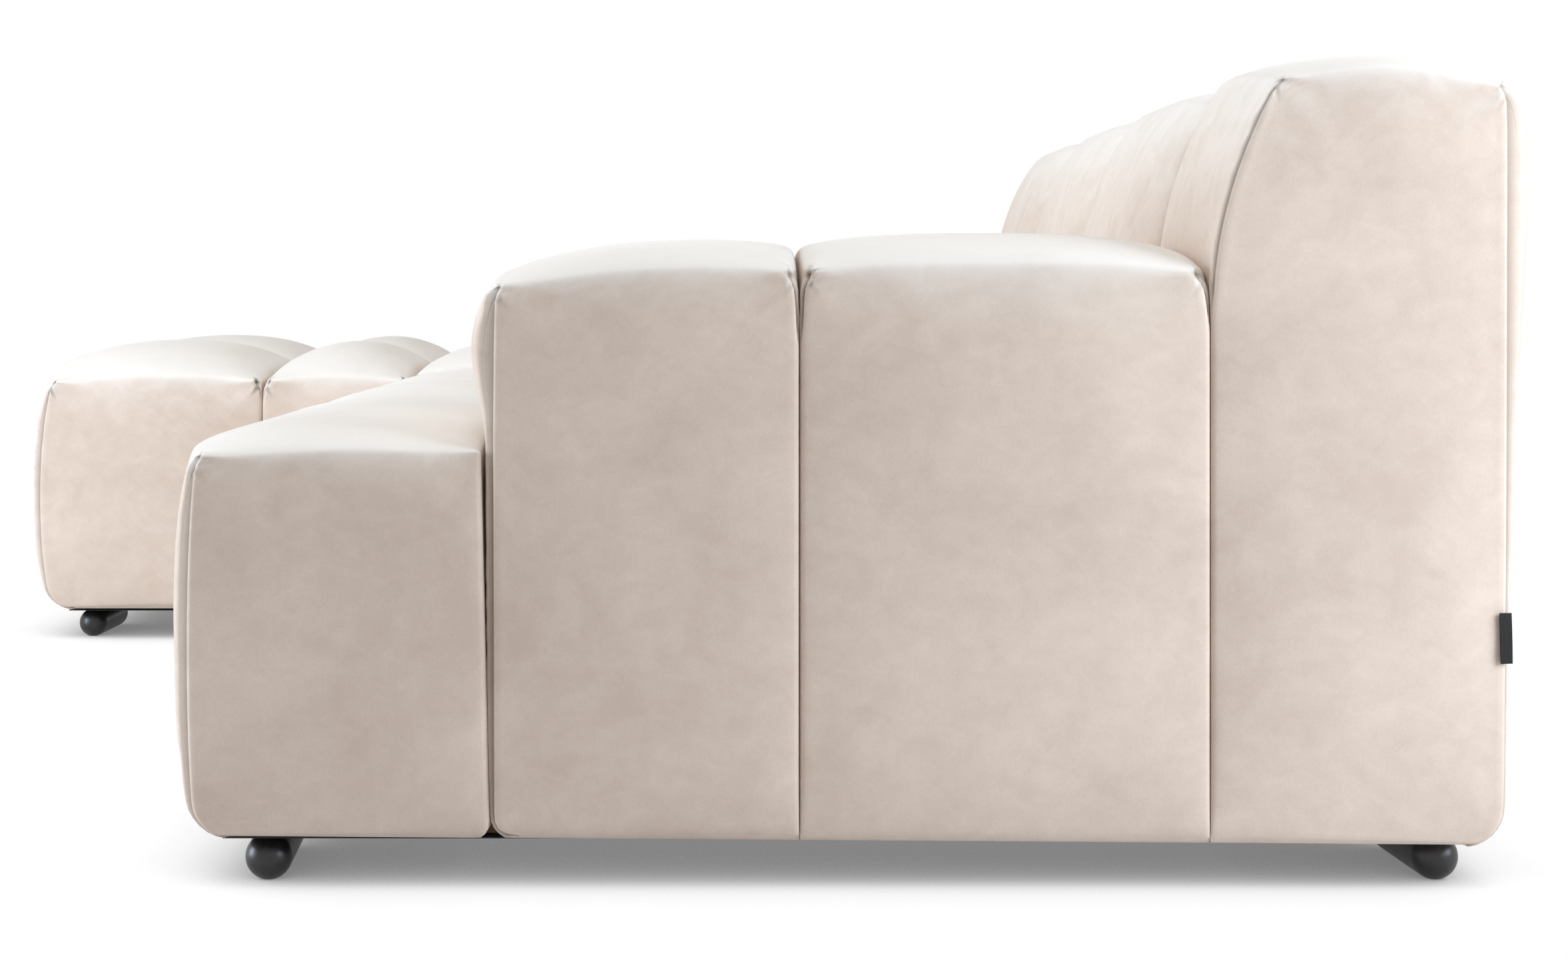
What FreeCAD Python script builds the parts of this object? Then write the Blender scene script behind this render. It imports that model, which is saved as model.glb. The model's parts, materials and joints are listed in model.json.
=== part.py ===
"""Lounge sofa with one arm and a backless chaise, made of padded blocks on two timber modules.

Millimetres. X runs along the sofa with the arm at +X, the front faces -Y and Z is up from the floor.
Every padded block is a boxed cushion: a side panel at each X end and a crowned band between them.
"""

import math
import os

import FreeCAD, Part

Vector = FreeCAD.Vector

# Plan: widths along X
ARM_WIDTH = 315.0
SEAT_WIDTH = 490.0
CHAISE_WIDTH = 490.0

# Plan: depths along Y, from the front line of the seat to the rear seam of the back
FRONT_ROW = 270.0
MIDDLE_ROW = 282.0
REAR_ROW = 373.0
BACK_DEPTH = 271.0

# Plan: how far the chaise runs ahead of the seat, in its first and second rows of blocks
CHAISE_FRONT_ROW = 330.0
CHAISE_SECOND_ROW = 230.0

# Heights of the sewn corners, and how far crowns and channels rise above them
SEAT_SEAM = 393.0
SEAT_CROWN = 48.0
CHAISE_CROWN = 60.0
CHANNEL_RISE = 18.0
ARM_SEAM = 550.0
ARM_CROWN = 44.0
BACK_SEAM = 734.0
BACK_CROWN = 22.0
BACK_RAKE = 62.0

# Fullness of the free faces in the middle of a block
FRONT_BULGE = 26.0
ARM_BULGE = 26.0
BACK_BULGE = 36.0
CORNER_BULGE = 22.0
REAR_BULGE = 14.0

# Rounded shoulders in the middle of a block, and the tight seams at its side panels
SHOULDER_RUN = 88.0
SHOULDER_DROP = 62.0
ARM_SHOULDER_RUN = 66.0
ARM_SHOULDER_DROP = 40.0
BACK_SHOULDER_RUN = 58.0
BACK_SHOULDER_DROP = 34.0
CROWN_BOW = 8.0
PANEL_DRAW = 11.0
PANEL_BOW = 1.0
BACK_BOW = 17.0
SEAM_ROUND = 14.0
HEM_ROUND = 36.0
BLOCK_GAP = 0.6

# Timber base
PADDING = 45.0
RAIL = 28.0
BASE_HEIGHT = 170.0
BRACE = 110.0
BRACE_HEIGHT = 60.0
FRAME_CLEARANCE = 0.3

# Arm and back frames
ARM_BOARD = 18.0
ARM_FRAME_TOP = 480.0
POST_WIDTH = 40.0
POST_DEPTH = 58.0
BACK_FRAME_TOP = 650.0
TOP_RAIL = 40.0
BACK_PANEL = 6.0

# Elastic straps
STRAP_WIDTH = 60.0
STRAP = 2.0
STRAP_PITCH = 135.0
UPPER_STRAP_PITCH = 200.0
BACK_STRAP_PITCH = 90.0

# Legs: capsules that lie along X, each on one bolt, with a flat above and below
LEG_HEIGHT = 42.0
LEG_DIAMETER = 43.4
LEG_LENGTH = 172.0
LEG_INSET = 28.0
SOFA_LEG_TURN = 3.0
CHAISE_LEG_TURN = -1.8
BOLT_DIAMETER = 8.0
BOLT_IN_LEG = 24.0
INSERT_DIAMETER = 12.0
INSERT_LENGTH = 28.0
FASTENER_CLEARANCE = 0.15

# Cloth under each base
DUST_COVER = 1.0
DUST_COVER_INSET = 24.0

# Connectors between the two modules: plates under the sofa, pins under the chaise
PLATE = 4.0
PLATE_WIDTH = 60.0
PLATE_REACH = 95.0
PLATE_JOGGLE = 2.0
CONNECTOR_SETBACK = 150.0
PIN_DIAMETER = 14.0
PIN_LENGTH = 18.0
PIN_TAPER = 4.0
PIN_TIP_DIAMETER = 8.0
PIN_FLANGE = 1.6
PIN_FLANGE_DIAMETER = 36.0
PIN_STUD_DIAMETER = 8.0
PIN_STUD_LENGTH = 32.0
PIN_CLEARANCE = 0.5
SCREW_DIAMETER = 5.0
SCREW_LENGTH = 34.0
SCREW_HEAD = 2.6
SCREW_HEAD_DIAMETER = 10.0
SCREW_SPACING = 34.0

# Plain tab in the rear seam of the arm-end panel
TAB_WIDTH = 11.0
TAB_HEIGHT = 46.0
TAB = 1.0
TAB_CENTRE_HEIGHT = 235.0
TAB_OVERHANG = 4.0

# Columns of blocks, named from the arm towards -X
SEAT_COLUMNS = ("right", "middle", "left")
CHAISE_COLUMNS = ("right", "left")

# Lines of the plan, with the origin under the middle of the whole sofa
LENGTH = ARM_WIDTH + len(SEAT_COLUMNS) * SEAT_WIDTH + len(CHAISE_COLUMNS) * CHAISE_WIDTH
X_RIGHT = LENGTH / 2
X_ARM = X_RIGHT - ARM_WIDTH
X_SPLIT = X_ARM - len(SEAT_COLUMNS) * SEAT_WIDTH
X_LEFT = -LENGTH / 2
DEPTH = CHAISE_FRONT_ROW + CHAISE_SECOND_ROW + FRONT_ROW + MIDDLE_ROW + REAR_ROW + BACK_DEPTH
Y_CHAISE = (FRONT_BULGE - REAR_BULGE - DEPTH) / 2
Y_SECOND = Y_CHAISE + CHAISE_FRONT_ROW
Y_FRONT = Y_SECOND + CHAISE_SECOND_ROW
Y_ARM = Y_FRONT + FRONT_ROW
Y_MIDDLE = Y_ARM + MIDDLE_ROW
Y_BACK = Y_MIDDLE + REAR_ROW
Y_REAR = Y_BACK + BACK_DEPTH

# Levels
Z_BASE = LEG_HEIGHT + DUST_COVER
Z_RAIL_TOP = Z_BASE + BASE_HEIGHT
Z_STRAP_TOP = Z_RAIL_TOP + 2 * STRAP
SEAT_TOUCH = SEAT_SEAM + SEAT_CROWN
ARM_TOUCH = ARM_SEAM - PANEL_DRAW - SEAM_ROUND

# Lines of the frames inside the padding
FRAME_RIGHT = X_RIGHT - PADDING
FRAME_SPLIT = X_SPLIT + PADDING
CHAISE_FRAME_RIGHT = X_SPLIT - PADDING
CHAISE_FRAME_LEFT = X_LEFT + PADDING
FRAME_FRONT = Y_FRONT + PADDING
FRAME_REAR = Y_REAR - PADDING
CHAISE_FRAME_FRONT = Y_CHAISE + PADDING
ARM_FRAME_FRONT = Y_ARM + PADDING
ARM_FRAME_INNER = X_ARM + PADDING
POST_REAR = FRAME_REAR - RAIL
POST_FRONT = POST_REAR - POST_DEPTH
BACK_FRAME_FRONT = POST_FRONT - STRAP
SEAT_RAIL_REAR = Y_BACK + RAIL

# How squarely a block fills out, and the shares of its width at which its loft has an outline
FULLNESS_POWER = 2.4
STATIONS = (0.0, 0.03, 0.1, 0.25, 0.5, 0.75, 0.9, 0.97, 1.0)


def fullness(share):
    """How full a block is at a share of its width: 0 at the side panels, 1 in the middle."""
    return math.sqrt(1.0 - abs(1.0 - 2.0 * share) ** FULLNESS_POWER)


def swell(panel, middle, full):
    """A value that goes from the one at a side panel to the one in the middle of a block."""
    return panel + (middle - panel) * full


class Outline:
    """A closed outline in a plane of constant X, drawn clockwise from one corner as lines and arcs."""

    def __init__(self, x, y, z):
        self.x = x
        self.start = (y, z)
        self.at = (y, z)
        self.heading = 0.0
        self.edges = []

    def point(self, place):
        return Vector(self.x, place[0], place[1])

    def chord(self, end):
        """Length and angle of the straight way from here to a corner."""
        run = end[0] - self.at[0]
        rise = end[1] - self.at[1]
        return math.hypot(run, rise), math.atan2(rise, run)

    def line(self, y, z):
        """A straight edge to a corner."""
        end = (y, z)
        self.heading = self.chord(end)[1]
        self.edges.append(Part.LineSegment(self.point(self.at), self.point(end)).toShape())
        self.at = end

    def bow(self, y, z, height):
        """An arc whose middle stands a height outside its chord."""
        end = (y, z)
        length, angle = self.chord(end)
        middle = (
            (self.at[0] + y) / 2 - height * math.sin(angle),
            (self.at[1] + z) / 2 + height * math.cos(angle),
        )
        arc = Part.Arc(self.point(self.at), self.point(middle), self.point(end))
        self.edges.append(arc.toShape())
        self.heading = angle - 2 * math.atan(2 * height / length)
        self.at = end

    def flow(self, y, z):
        """An arc that leaves in the direction in which the last edge came in."""
        length, angle = self.chord((y, z))
        self.bow(y, z, length / 2 * math.tan((self.heading - angle) / 2))

    def corner(self, y, z):
        """A quarter turn to a corner."""
        length = self.chord((y, z))[0]
        self.bow(y, z, length / 2 * math.tan(math.pi / 8))

    def wire(self):
        self.line(*self.start)
        return Part.Wire(self.edges)


def padded_block(left, right, outline):
    """A block lofted from side panel to side panel, each station as full as its place asks."""
    low = left + BLOCK_GAP / 2
    width = right - left - BLOCK_GAP
    wires = [outline(low + share * width, fullness(share)).wire() for share in STATIONS]
    return Part.makeLoft(wires, True, False)


def crowned_rows(outline, ends, seam, crown, full):
    """Crowned rows, each up to a sewn channel or to the block's rear."""
    for end in ends:
        bow = swell(PANEL_BOW, crown - CHANNEL_RISE, full)
        outline.bow(end, seam + swell(0.0, CHANNEL_RISE, full), bow)


def front_outline(front, rear, crown):
    """Outline of a block with a free front face, as in the front rows of the seat and chaise."""

    def at(x, full):
        draw = swell(PANEL_DRAW, 0.0, full)
        face = front + draw
        seam = SEAT_SEAM - draw
        last = rear - BLOCK_GAP / 2
        run = swell(SEAM_ROUND, SHOULDER_RUN, full)
        drop = swell(SEAM_ROUND, SHOULDER_DROP, full)
        outline = Outline(x, last, Z_BASE)
        outline.line(face + HEM_ROUND, Z_BASE)
        outline.corner(face, Z_BASE + HEM_ROUND)
        outline.bow(face, seam - drop, swell(PANEL_BOW, FRONT_BULGE, full))
        outline.flow(face + run, seam + swell(0.0, crown - CROWN_BOW, full))
        outline.flow(last, seam + swell(0.0, CHANNEL_RISE, full))
        return outline

    return at


def row_outline(front, rear, channels, crown):
    """Outline of a block between two others, with sewn channels across it."""

    def at(x, full):
        seam = SEAT_SEAM - swell(PANEL_DRAW, 0.0, full)
        first = front + BLOCK_GAP / 2
        last = rear - BLOCK_GAP / 2
        outline = Outline(x, last, Z_BASE)
        outline.line(first, Z_BASE)
        outline.line(first, seam + swell(0.0, CHANNEL_RISE, full))
        crowned_rows(outline, (*channels, last), seam, crown, full)
        return outline

    return at


def open_rear_outline(front, rear, channels, crown):
    """Outline of the chaise's long pad: sewn channels across it and a free rear face."""

    def at(x, full):
        draw = swell(PANEL_DRAW, 0.0, full)
        seam = SEAT_SEAM - draw
        face = rear - draw
        first = front + BLOCK_GAP / 2
        run = swell(SEAM_ROUND, SHOULDER_RUN, full)
        drop = swell(SEAM_ROUND, SHOULDER_DROP, full)
        crown_bow = swell(PANEL_BOW, CROWN_BOW, full)
        outline = Outline(x, first, Z_BASE)
        outline.line(first, seam + swell(0.0, CHANNEL_RISE, full))
        crowned_rows(outline, channels, seam, crown, full)
        outline.bow(face - run, seam + swell(0.0, crown - CROWN_BOW, full), crown_bow)
        outline.corner(face, seam - drop)
        outline.bow(face, Z_BASE + HEM_ROUND, swell(PANEL_BOW, REAR_BULGE, full))
        outline.corner(face - HEM_ROUND, Z_BASE)
        return outline

    return at


def arm_outline(front, rear, bulge, front_touch):
    """Outline of an arm block: flat against its neighbours below, full above them."""

    def at(x, full):
        draw = swell(PANEL_DRAW, 0.0, full)
        seam = ARM_SEAM - draw
        first = front + BLOCK_GAP / 2
        last = rear - BLOCK_GAP / 2
        run = swell(SEAM_ROUND, ARM_SHOULDER_RUN, full)
        drop = swell(SEAM_ROUND, ARM_SHOULDER_DROP, full)
        top = seam + swell(0.0, ARM_CROWN - CROWN_BOW, full)
        outline = Outline(x, last, Z_BASE)
        outline.line(first, Z_BASE)
        outline.line(first, front_touch)
        if bulge > 0.0:
            outline.bow(first + draw, seam - drop, swell(PANEL_BOW, bulge, full))
        else:
            outline.line(first + draw + BLOCK_GAP, seam - drop)
        outline.corner(first + draw + run, top)
        outline.bow(last - run, top, swell(PANEL_BOW, CROWN_BOW, full))
        outline.corner(last, seam - drop)
        return outline

    return at


def back_outline(front_touch, bulge):
    """Outline of an upright channel: straight where the seat or arm meets it, raked and full above."""

    def at(x, full):
        draw = swell(PANEL_DRAW, 0.0, full)
        seam = BACK_SEAM - draw
        rear = Y_REAR - draw
        first = Y_BACK + BLOCK_GAP / 2
        top_front = Y_BACK + BACK_RAKE + draw
        run = swell(SEAM_ROUND, BACK_SHOULDER_RUN, full)
        drop = swell(SEAM_ROUND, BACK_SHOULDER_DROP, full)
        top = seam + swell(0.0, BACK_CROWN - CROWN_BOW, full)
        outline = Outline(x, first, Z_BASE)
        outline.line(first, front_touch)
        outline.bow(top_front - swell(0.0, SEAM_ROUND, full), seam - drop, swell(BACK_BOW, bulge, full))
        outline.corner(top_front + run, top)
        outline.bow(rear - run, top, swell(PANEL_BOW, CROWN_BOW, full))
        outline.corner(rear, seam - drop)
        outline.bow(rear, Z_BASE + HEM_ROUND, swell(PANEL_BOW, REAR_BULGE, full))
        outline.corner(rear - HEM_ROUND, Z_BASE)
        return outline

    return at


def box(x0, x1, y0, y1, z0, z1):
    return Part.makeBox(x1 - x0, y1 - y0, z1 - z0, Vector(x0, y0, z0))


def rod(x, y, z0, z1, diameter):
    """An upright round bar."""
    return Part.makeCylinder(diameter / 2, z1 - z0, Vector(x, y, z0))


def bored(solid, places, z0, z1, diameter):
    """A solid with an upright hole at each place, a little wider than what goes through it."""
    wide = diameter + 2 * FASTENER_CLEARANCE
    for x, y in places:
        solid = solid.cut(rod(x, y, z0, z1, wide))
    return solid


def room(x0, x1, y0, y1, z1):
    """The space that a frame takes inside the padding, open below."""
    gap = FRAME_CLEARANCE
    return box(x0 - gap, x1 + gap, y0 - gap, y1 + gap, Z_BASE - gap, z1 + gap)


def column_lines(start, width, names):
    """Left and right X of each named column, from start towards -X."""
    return {name: (start - (i + 1) * width, start - i * width) for i, name in enumerate(names)}


def spread(low, high, pitch):
    """Centres of an even pattern between two lines, about a pitch apart."""
    count = max(1, round((high - low) / pitch))
    step = (high - low) / count
    return [low + (i + 0.5) * step for i in range(count)]


SEAT_LINES = column_lines(X_ARM, SEAT_WIDTH, SEAT_COLUMNS)
CHAISE_LINES = column_lines(X_SPLIT, CHAISE_WIDTH, CHAISE_COLUMNS)

# Bolts of the legs, in the middle of the rails that they hold
LEG_REACH = LEG_INSET + LEG_LENGTH / 2
FRONT_BOLT = FRAME_FRONT + RAIL / 2
REAR_BOLT = FRAME_REAR - RAIL / 2
CHAISE_FRONT_BOLT = CHAISE_FRAME_FRONT + RAIL / 2
SOFA_BOLTS = {
    "front_right": (X_RIGHT - LEG_REACH, FRONT_BOLT),
    "rear_right": (X_RIGHT - LEG_REACH, REAR_BOLT),
    "front_left": (X_SPLIT + LEG_REACH, FRONT_BOLT),
    "rear_left": (X_SPLIT + LEG_REACH, REAR_BOLT),
}
CHAISE_BOLTS = {
    "front_right": (X_SPLIT - LEG_REACH, CHAISE_FRONT_BOLT),
    "rear_right": (X_SPLIT - LEG_REACH, REAR_BOLT),
    "front_left": (X_LEFT + LEG_REACH, CHAISE_FRONT_BOLT),
    "rear_left": (X_LEFT + LEG_REACH, REAR_BOLT),
}

# Connectors: pins in the middle of the chaise's side rail, screws in the middle of the sofa's end rail
CONNECTOR_LINES = (FRAME_FRONT + RAIL + CONNECTOR_SETBACK, Y_BACK - CONNECTOR_SETBACK)
PIN_PLACES = [(CHAISE_FRAME_RIGHT - RAIL / 2, y) for y in CONNECTOR_LINES]
SCREW_PLACES = [
    (FRAME_SPLIT + RAIL / 2, y + side * SCREW_SPACING / 2) for y in CONNECTOR_LINES for side in (-1, 1)
]


def sofa_padding():
    """Padded blocks of the sofa by node name, hollowed for the frame that they cover."""
    blocks = {}
    for name, (left, right) in SEAT_LINES.items():
        end = X_RIGHT if name == SEAT_COLUMNS[0] else right
        front = front_outline(Y_FRONT, Y_ARM, SEAT_CROWN)
        pad = row_outline(Y_ARM, Y_BACK, (Y_MIDDLE,), SEAT_CROWN)
        blocks[f"seat_front_{name}"] = padded_block(left, end, front)
        blocks[f"seat_pad_{name}"] = padded_block(left, right, pad)
        blocks[f"back_{name}_block"] = padded_block(left, right, back_outline(SEAT_TOUCH, BACK_BULGE))
    arm_front = arm_outline(Y_ARM, Y_MIDDLE, ARM_BULGE, SEAT_TOUCH)
    arm_rear = arm_outline(Y_MIDDLE, Y_BACK, 0.0, ARM_TOUCH - ARM_SHOULDER_DROP)
    blocks["arm_front_block"] = padded_block(X_ARM, X_RIGHT, arm_front)
    blocks["arm_rear_block"] = padded_block(X_ARM, X_RIGHT, arm_rear)
    blocks["back_corner_block"] = padded_block(X_ARM, X_RIGHT, back_outline(ARM_TOUCH, CORNER_BULGE))
    base = room(FRAME_SPLIT, FRAME_RIGHT, FRAME_FRONT, FRAME_REAR, Z_STRAP_TOP)
    back = room(FRAME_SPLIT, FRAME_RIGHT, BACK_FRAME_FRONT, FRAME_REAR, BACK_FRAME_TOP)
    arm = room(ARM_FRAME_INNER, FRAME_RIGHT, ARM_FRAME_FRONT, FRAME_REAR, ARM_FRAME_TOP)
    space = base.fuse([back, arm])
    return {name: block.cut(space) for name, block in blocks.items()}


def chaise_padding():
    """Padded blocks of the chaise by node name, hollowed for its base."""
    blocks = {}
    front = front_outline(Y_CHAISE, Y_SECOND, CHAISE_CROWN)
    second = row_outline(Y_SECOND, Y_FRONT, (), CHAISE_CROWN)
    pad = open_rear_outline(Y_FRONT, Y_REAR, (Y_ARM, Y_MIDDLE, Y_BACK), CHAISE_CROWN)
    for name, (left, right) in CHAISE_LINES.items():
        blocks[f"chaise_front_{name}"] = padded_block(left, right, front)
        blocks[f"chaise_second_{name}"] = padded_block(left, right, second)
        blocks[f"chaise_pad_{name}"] = padded_block(left, right, pad)
    space = room(CHAISE_FRAME_LEFT, CHAISE_FRAME_RIGHT, CHAISE_FRAME_FRONT, FRAME_REAR, Z_STRAP_TOP)
    return {name: block.cut(space) for name, block in blocks.items()}


def rail_x(x0, x1, y0, bolts=()):
    """A rail along X on the base line, drilled for the inserts of the legs."""
    rail = box(x0, x1, y0, y0 + RAIL, Z_BASE, Z_RAIL_TOP)
    return bored(rail, bolts, Z_BASE, Z_BASE + INSERT_LENGTH, INSERT_DIAMETER)


def rail_y(x0, y0, y1):
    """A rail along Y on the base line."""
    return box(x0, x0 + RAIL, y0, y1, Z_BASE, Z_RAIL_TOP)


def strap_x(x0, x1, y, z):
    """An elastic strap along X."""
    return box(x0, x1, y - STRAP_WIDTH / 2, y + STRAP_WIDTH / 2, z, z + STRAP)


def strap_y(x, y0, y1, z):
    """An elastic strap along Y."""
    return box(x - STRAP_WIDTH / 2, x + STRAP_WIDTH / 2, y0, y1, z, z + STRAP)


def corner_braces(x0, x1, y0, y1):
    """Triangular blocks in the four corners of a base, between the inner faces of its rails."""
    braces = []
    for x, along in ((x0, BRACE), (x1, -BRACE)):
        for y, across in ((y0, BRACE), (y1, -BRACE)):
            corners = [Vector(x, y, Z_BASE), Vector(x + along, y, Z_BASE), Vector(x, y + across, Z_BASE)]
            face = Part.Face(Part.makePolygon([*corners, corners[0]]))
            braces.append(face.extrude(Vector(0, 0, BRACE_HEIGHT)))
    return Part.makeCompound(braces)


def sofa_base():
    """Rails, braces and straps under the seat, by node name."""
    rail_front = FRAME_FRONT + RAIL
    inner_right = FRAME_RIGHT - RAIL
    inner_left = FRAME_SPLIT + RAIL
    front_bolts = [SOFA_BOLTS["front_right"], SOFA_BOLTS["front_left"]]
    rear_bolts = [SOFA_BOLTS["rear_right"], SOFA_BOLTS["rear_left"]]
    left_end = rail_y(FRAME_SPLIT, rail_front, POST_FRONT)
    left_end = bored(left_end, SCREW_PLACES, Z_BASE, Z_BASE + SCREW_LENGTH, SCREW_DIAMETER)
    cross_lines = [ARM_FRAME_INNER + ARM_BOARD / 2]
    cross_lines += [left for left, _ in SEAT_LINES.values() if left > X_SPLIT + RAIL]
    lengthwise = [
        strap_y(x, FRAME_FRONT, SEAT_RAIL_REAR, Z_RAIL_TOP)
        for x in spread(inner_left, ARM_FRAME_INNER, STRAP_PITCH)
    ]
    crosswise = [
        strap_x(FRAME_SPLIT, ARM_FRAME_INNER, y, Z_RAIL_TOP + STRAP)
        for y in spread(rail_front, Y_BACK, UPPER_STRAP_PITCH)
    ]
    cross_rails = [rail_y(x - RAIL / 2, rail_front, Y_BACK) for x in cross_lines]
    return {
        "base_front_rail": rail_x(FRAME_SPLIT, FRAME_RIGHT, FRAME_FRONT, front_bolts),
        "base_rear_rail": rail_x(FRAME_SPLIT, FRAME_RIGHT, POST_REAR, rear_bolts),
        "base_end_rails": Part.makeCompound([rail_y(inner_right, rail_front, POST_FRONT), left_end]),
        "base_cross_rails": Part.makeCompound(cross_rails),
        "seat_rear_rail": rail_x(inner_left, inner_right, Y_BACK),
        "base_corner_braces": corner_braces(inner_left, inner_right, rail_front, Y_BACK),
        "seat_straps_lengthwise": Part.makeCompound(lengthwise),
        "seat_straps_crosswise": Part.makeCompound(crosswise),
    }


def back_frame():
    """Posts, rail, panel and straps inside the back, by node name."""
    top = BACK_FRAME_TOP - TOP_RAIL
    lines = [FRAME_SPLIT + POST_WIDTH / 2, FRAME_RIGHT - POST_WIDTH / 2]
    lines += [right for _, right in SEAT_LINES.values()]
    posts = [
        box(x - POST_WIDTH / 2, x + POST_WIDTH / 2, POST_FRONT, POST_REAR, Z_BASE, top) for x in lines
    ]
    straps = [
        box(FRAME_SPLIT, FRAME_RIGHT, BACK_FRAME_FRONT, POST_FRONT, z - STRAP_WIDTH / 2, z + STRAP_WIDTH / 2)
        for z in spread(Z_RAIL_TOP, top, BACK_STRAP_PITCH)
    ]
    return {
        "back_posts": Part.makeCompound(posts),
        "back_top_rail": box(FRAME_SPLIT, FRAME_RIGHT, POST_FRONT, FRAME_REAR, top, BACK_FRAME_TOP),
        "back_panel": box(FRAME_SPLIT, FRAME_RIGHT, POST_REAR, POST_REAR + BACK_PANEL, Z_RAIL_TOP, top),
        "back_straps": Part.makeCompound(straps),
    }


def arm_frame():
    """Boards inside the arm, by node name."""
    outer = FRAME_RIGHT - ARM_BOARD
    inner = ARM_FRAME_INNER + ARM_BOARD
    under = ARM_FRAME_TOP - ARM_BOARD
    face = ARM_FRAME_FRONT + ARM_BOARD
    return {
        "arm_outer_panel": box(outer, FRAME_RIGHT, ARM_FRAME_FRONT, BACK_FRAME_FRONT, Z_RAIL_TOP, under),
        "arm_inner_panel": box(ARM_FRAME_INNER, inner, ARM_FRAME_FRONT, BACK_FRAME_FRONT, Z_RAIL_TOP, under),
        "arm_front_board": box(inner, outer, ARM_FRAME_FRONT, face, Z_RAIL_TOP, under),
        "arm_top_board": box(
            ARM_FRAME_INNER, FRAME_RIGHT, ARM_FRAME_FRONT, BACK_FRAME_FRONT, under, ARM_FRAME_TOP
        ),
    }


def chaise_base():
    """Rails, braces and straps under the chaise, by node name."""
    rail_front = CHAISE_FRAME_FRONT + RAIL
    inner_right = CHAISE_FRAME_RIGHT - RAIL
    inner_left = CHAISE_FRAME_LEFT + RAIL
    front_bolts = [CHAISE_BOLTS["front_right"], CHAISE_BOLTS["front_left"]]
    rear_bolts = [CHAISE_BOLTS["rear_right"], CHAISE_BOLTS["rear_left"]]
    left_side = rail_y(CHAISE_FRAME_LEFT, rail_front, POST_REAR)
    right_side = rail_y(inner_right, rail_front, POST_REAR)
    right_side = bored(right_side, PIN_PLACES, Z_BASE, Z_BASE + PIN_STUD_LENGTH, PIN_STUD_DIAMETER)
    crosswise = [
        strap_x(CHAISE_FRAME_LEFT, CHAISE_FRAME_RIGHT, y, Z_RAIL_TOP)
        for y in spread(rail_front, POST_REAR, STRAP_PITCH)
    ]
    lengthwise = [
        strap_y(x, CHAISE_FRAME_FRONT, FRAME_REAR, Z_RAIL_TOP + STRAP)
        for x in spread(inner_left, inner_right, UPPER_STRAP_PITCH)
    ]
    cross_rails = [rail_x(inner_left, inner_right, y - RAIL / 2) for y in (Y_FRONT, Y_MIDDLE)]
    return {
        "chaise_front_rail": rail_x(CHAISE_FRAME_LEFT, CHAISE_FRAME_RIGHT, CHAISE_FRAME_FRONT, front_bolts),
        "chaise_rear_rail": rail_x(CHAISE_FRAME_LEFT, CHAISE_FRAME_RIGHT, POST_REAR, rear_bolts),
        "chaise_side_rails": Part.makeCompound([left_side, right_side]),
        "chaise_cross_rails": Part.makeCompound(cross_rails),
        "chaise_corner_braces": corner_braces(inner_left, inner_right, rail_front, POST_REAR),
        "chaise_straps_crosswise": Part.makeCompound(crosswise),
        "chaise_straps_lengthwise": Part.makeCompound(lengthwise),
    }


def capsule_leg(x, y, turn):
    """A leg: a capsule along X, flat where it meets the base and the floor, bored for its bolt."""
    radius = LEG_DIAMETER / 2
    reach = LEG_LENGTH / 2 - radius
    middle = LEG_HEIGHT / 2
    leg = Part.makeCylinder(radius, 2 * reach, Vector(-reach, 0, middle), Vector(1, 0, 0))
    for end in (-reach, reach):
        leg = leg.fuse(Part.makeSphere(radius, Vector(end, 0, middle)))
    slab = box(-LEG_LENGTH, LEG_LENGTH, -LEG_DIAMETER, LEG_DIAMETER, 0, LEG_HEIGHT)
    leg = bored(leg.common(slab), [(0, 0)], LEG_HEIGHT - BOLT_IN_LEG, LEG_HEIGHT, BOLT_DIAMETER)
    leg = leg.removeSplitter()
    leg.rotate(Vector(0, 0, 0), Vector(0, 0, 1), turn)
    leg.translate(Vector(x, y, 0))
    return leg


def leg_set(module, bolts, turn):
    """Legs of a module with their bolts and threaded inserts, by node name."""
    nodes = {f"{module}_leg_{name}": capsule_leg(x, y, turn) for name, (x, y) in bolts.items()}
    insert_top = Z_BASE + INSERT_LENGTH
    shanks = [rod(x, y, LEG_HEIGHT - BOLT_IN_LEG, insert_top, BOLT_DIAMETER) for x, y in bolts.values()]
    inserts = [
        bored(rod(x, y, Z_BASE, insert_top, INSERT_DIAMETER), [(x, y)], Z_BASE, insert_top, BOLT_DIAMETER)
        for x, y in bolts.values()
    ]
    nodes[f"{module}_leg_bolts"] = Part.makeCompound(shanks)
    nodes[f"{module}_leg_inserts"] = Part.makeCompound(inserts)
    return nodes


def dust_cover(x0, x1, y0, y1, bolts, others, other_diameter):
    """Cloth under a base, with holes for what goes through it."""
    inset = DUST_COVER_INSET
    cloth = box(x0 + inset, x1 - inset, y0 + inset, y1 - inset, LEG_HEIGHT, Z_BASE)
    cloth = bored(cloth, bolts, LEG_HEIGHT, Z_BASE, BOLT_DIAMETER)
    return bored(cloth, others, LEG_HEIGHT, Z_BASE, other_diameter)


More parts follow.
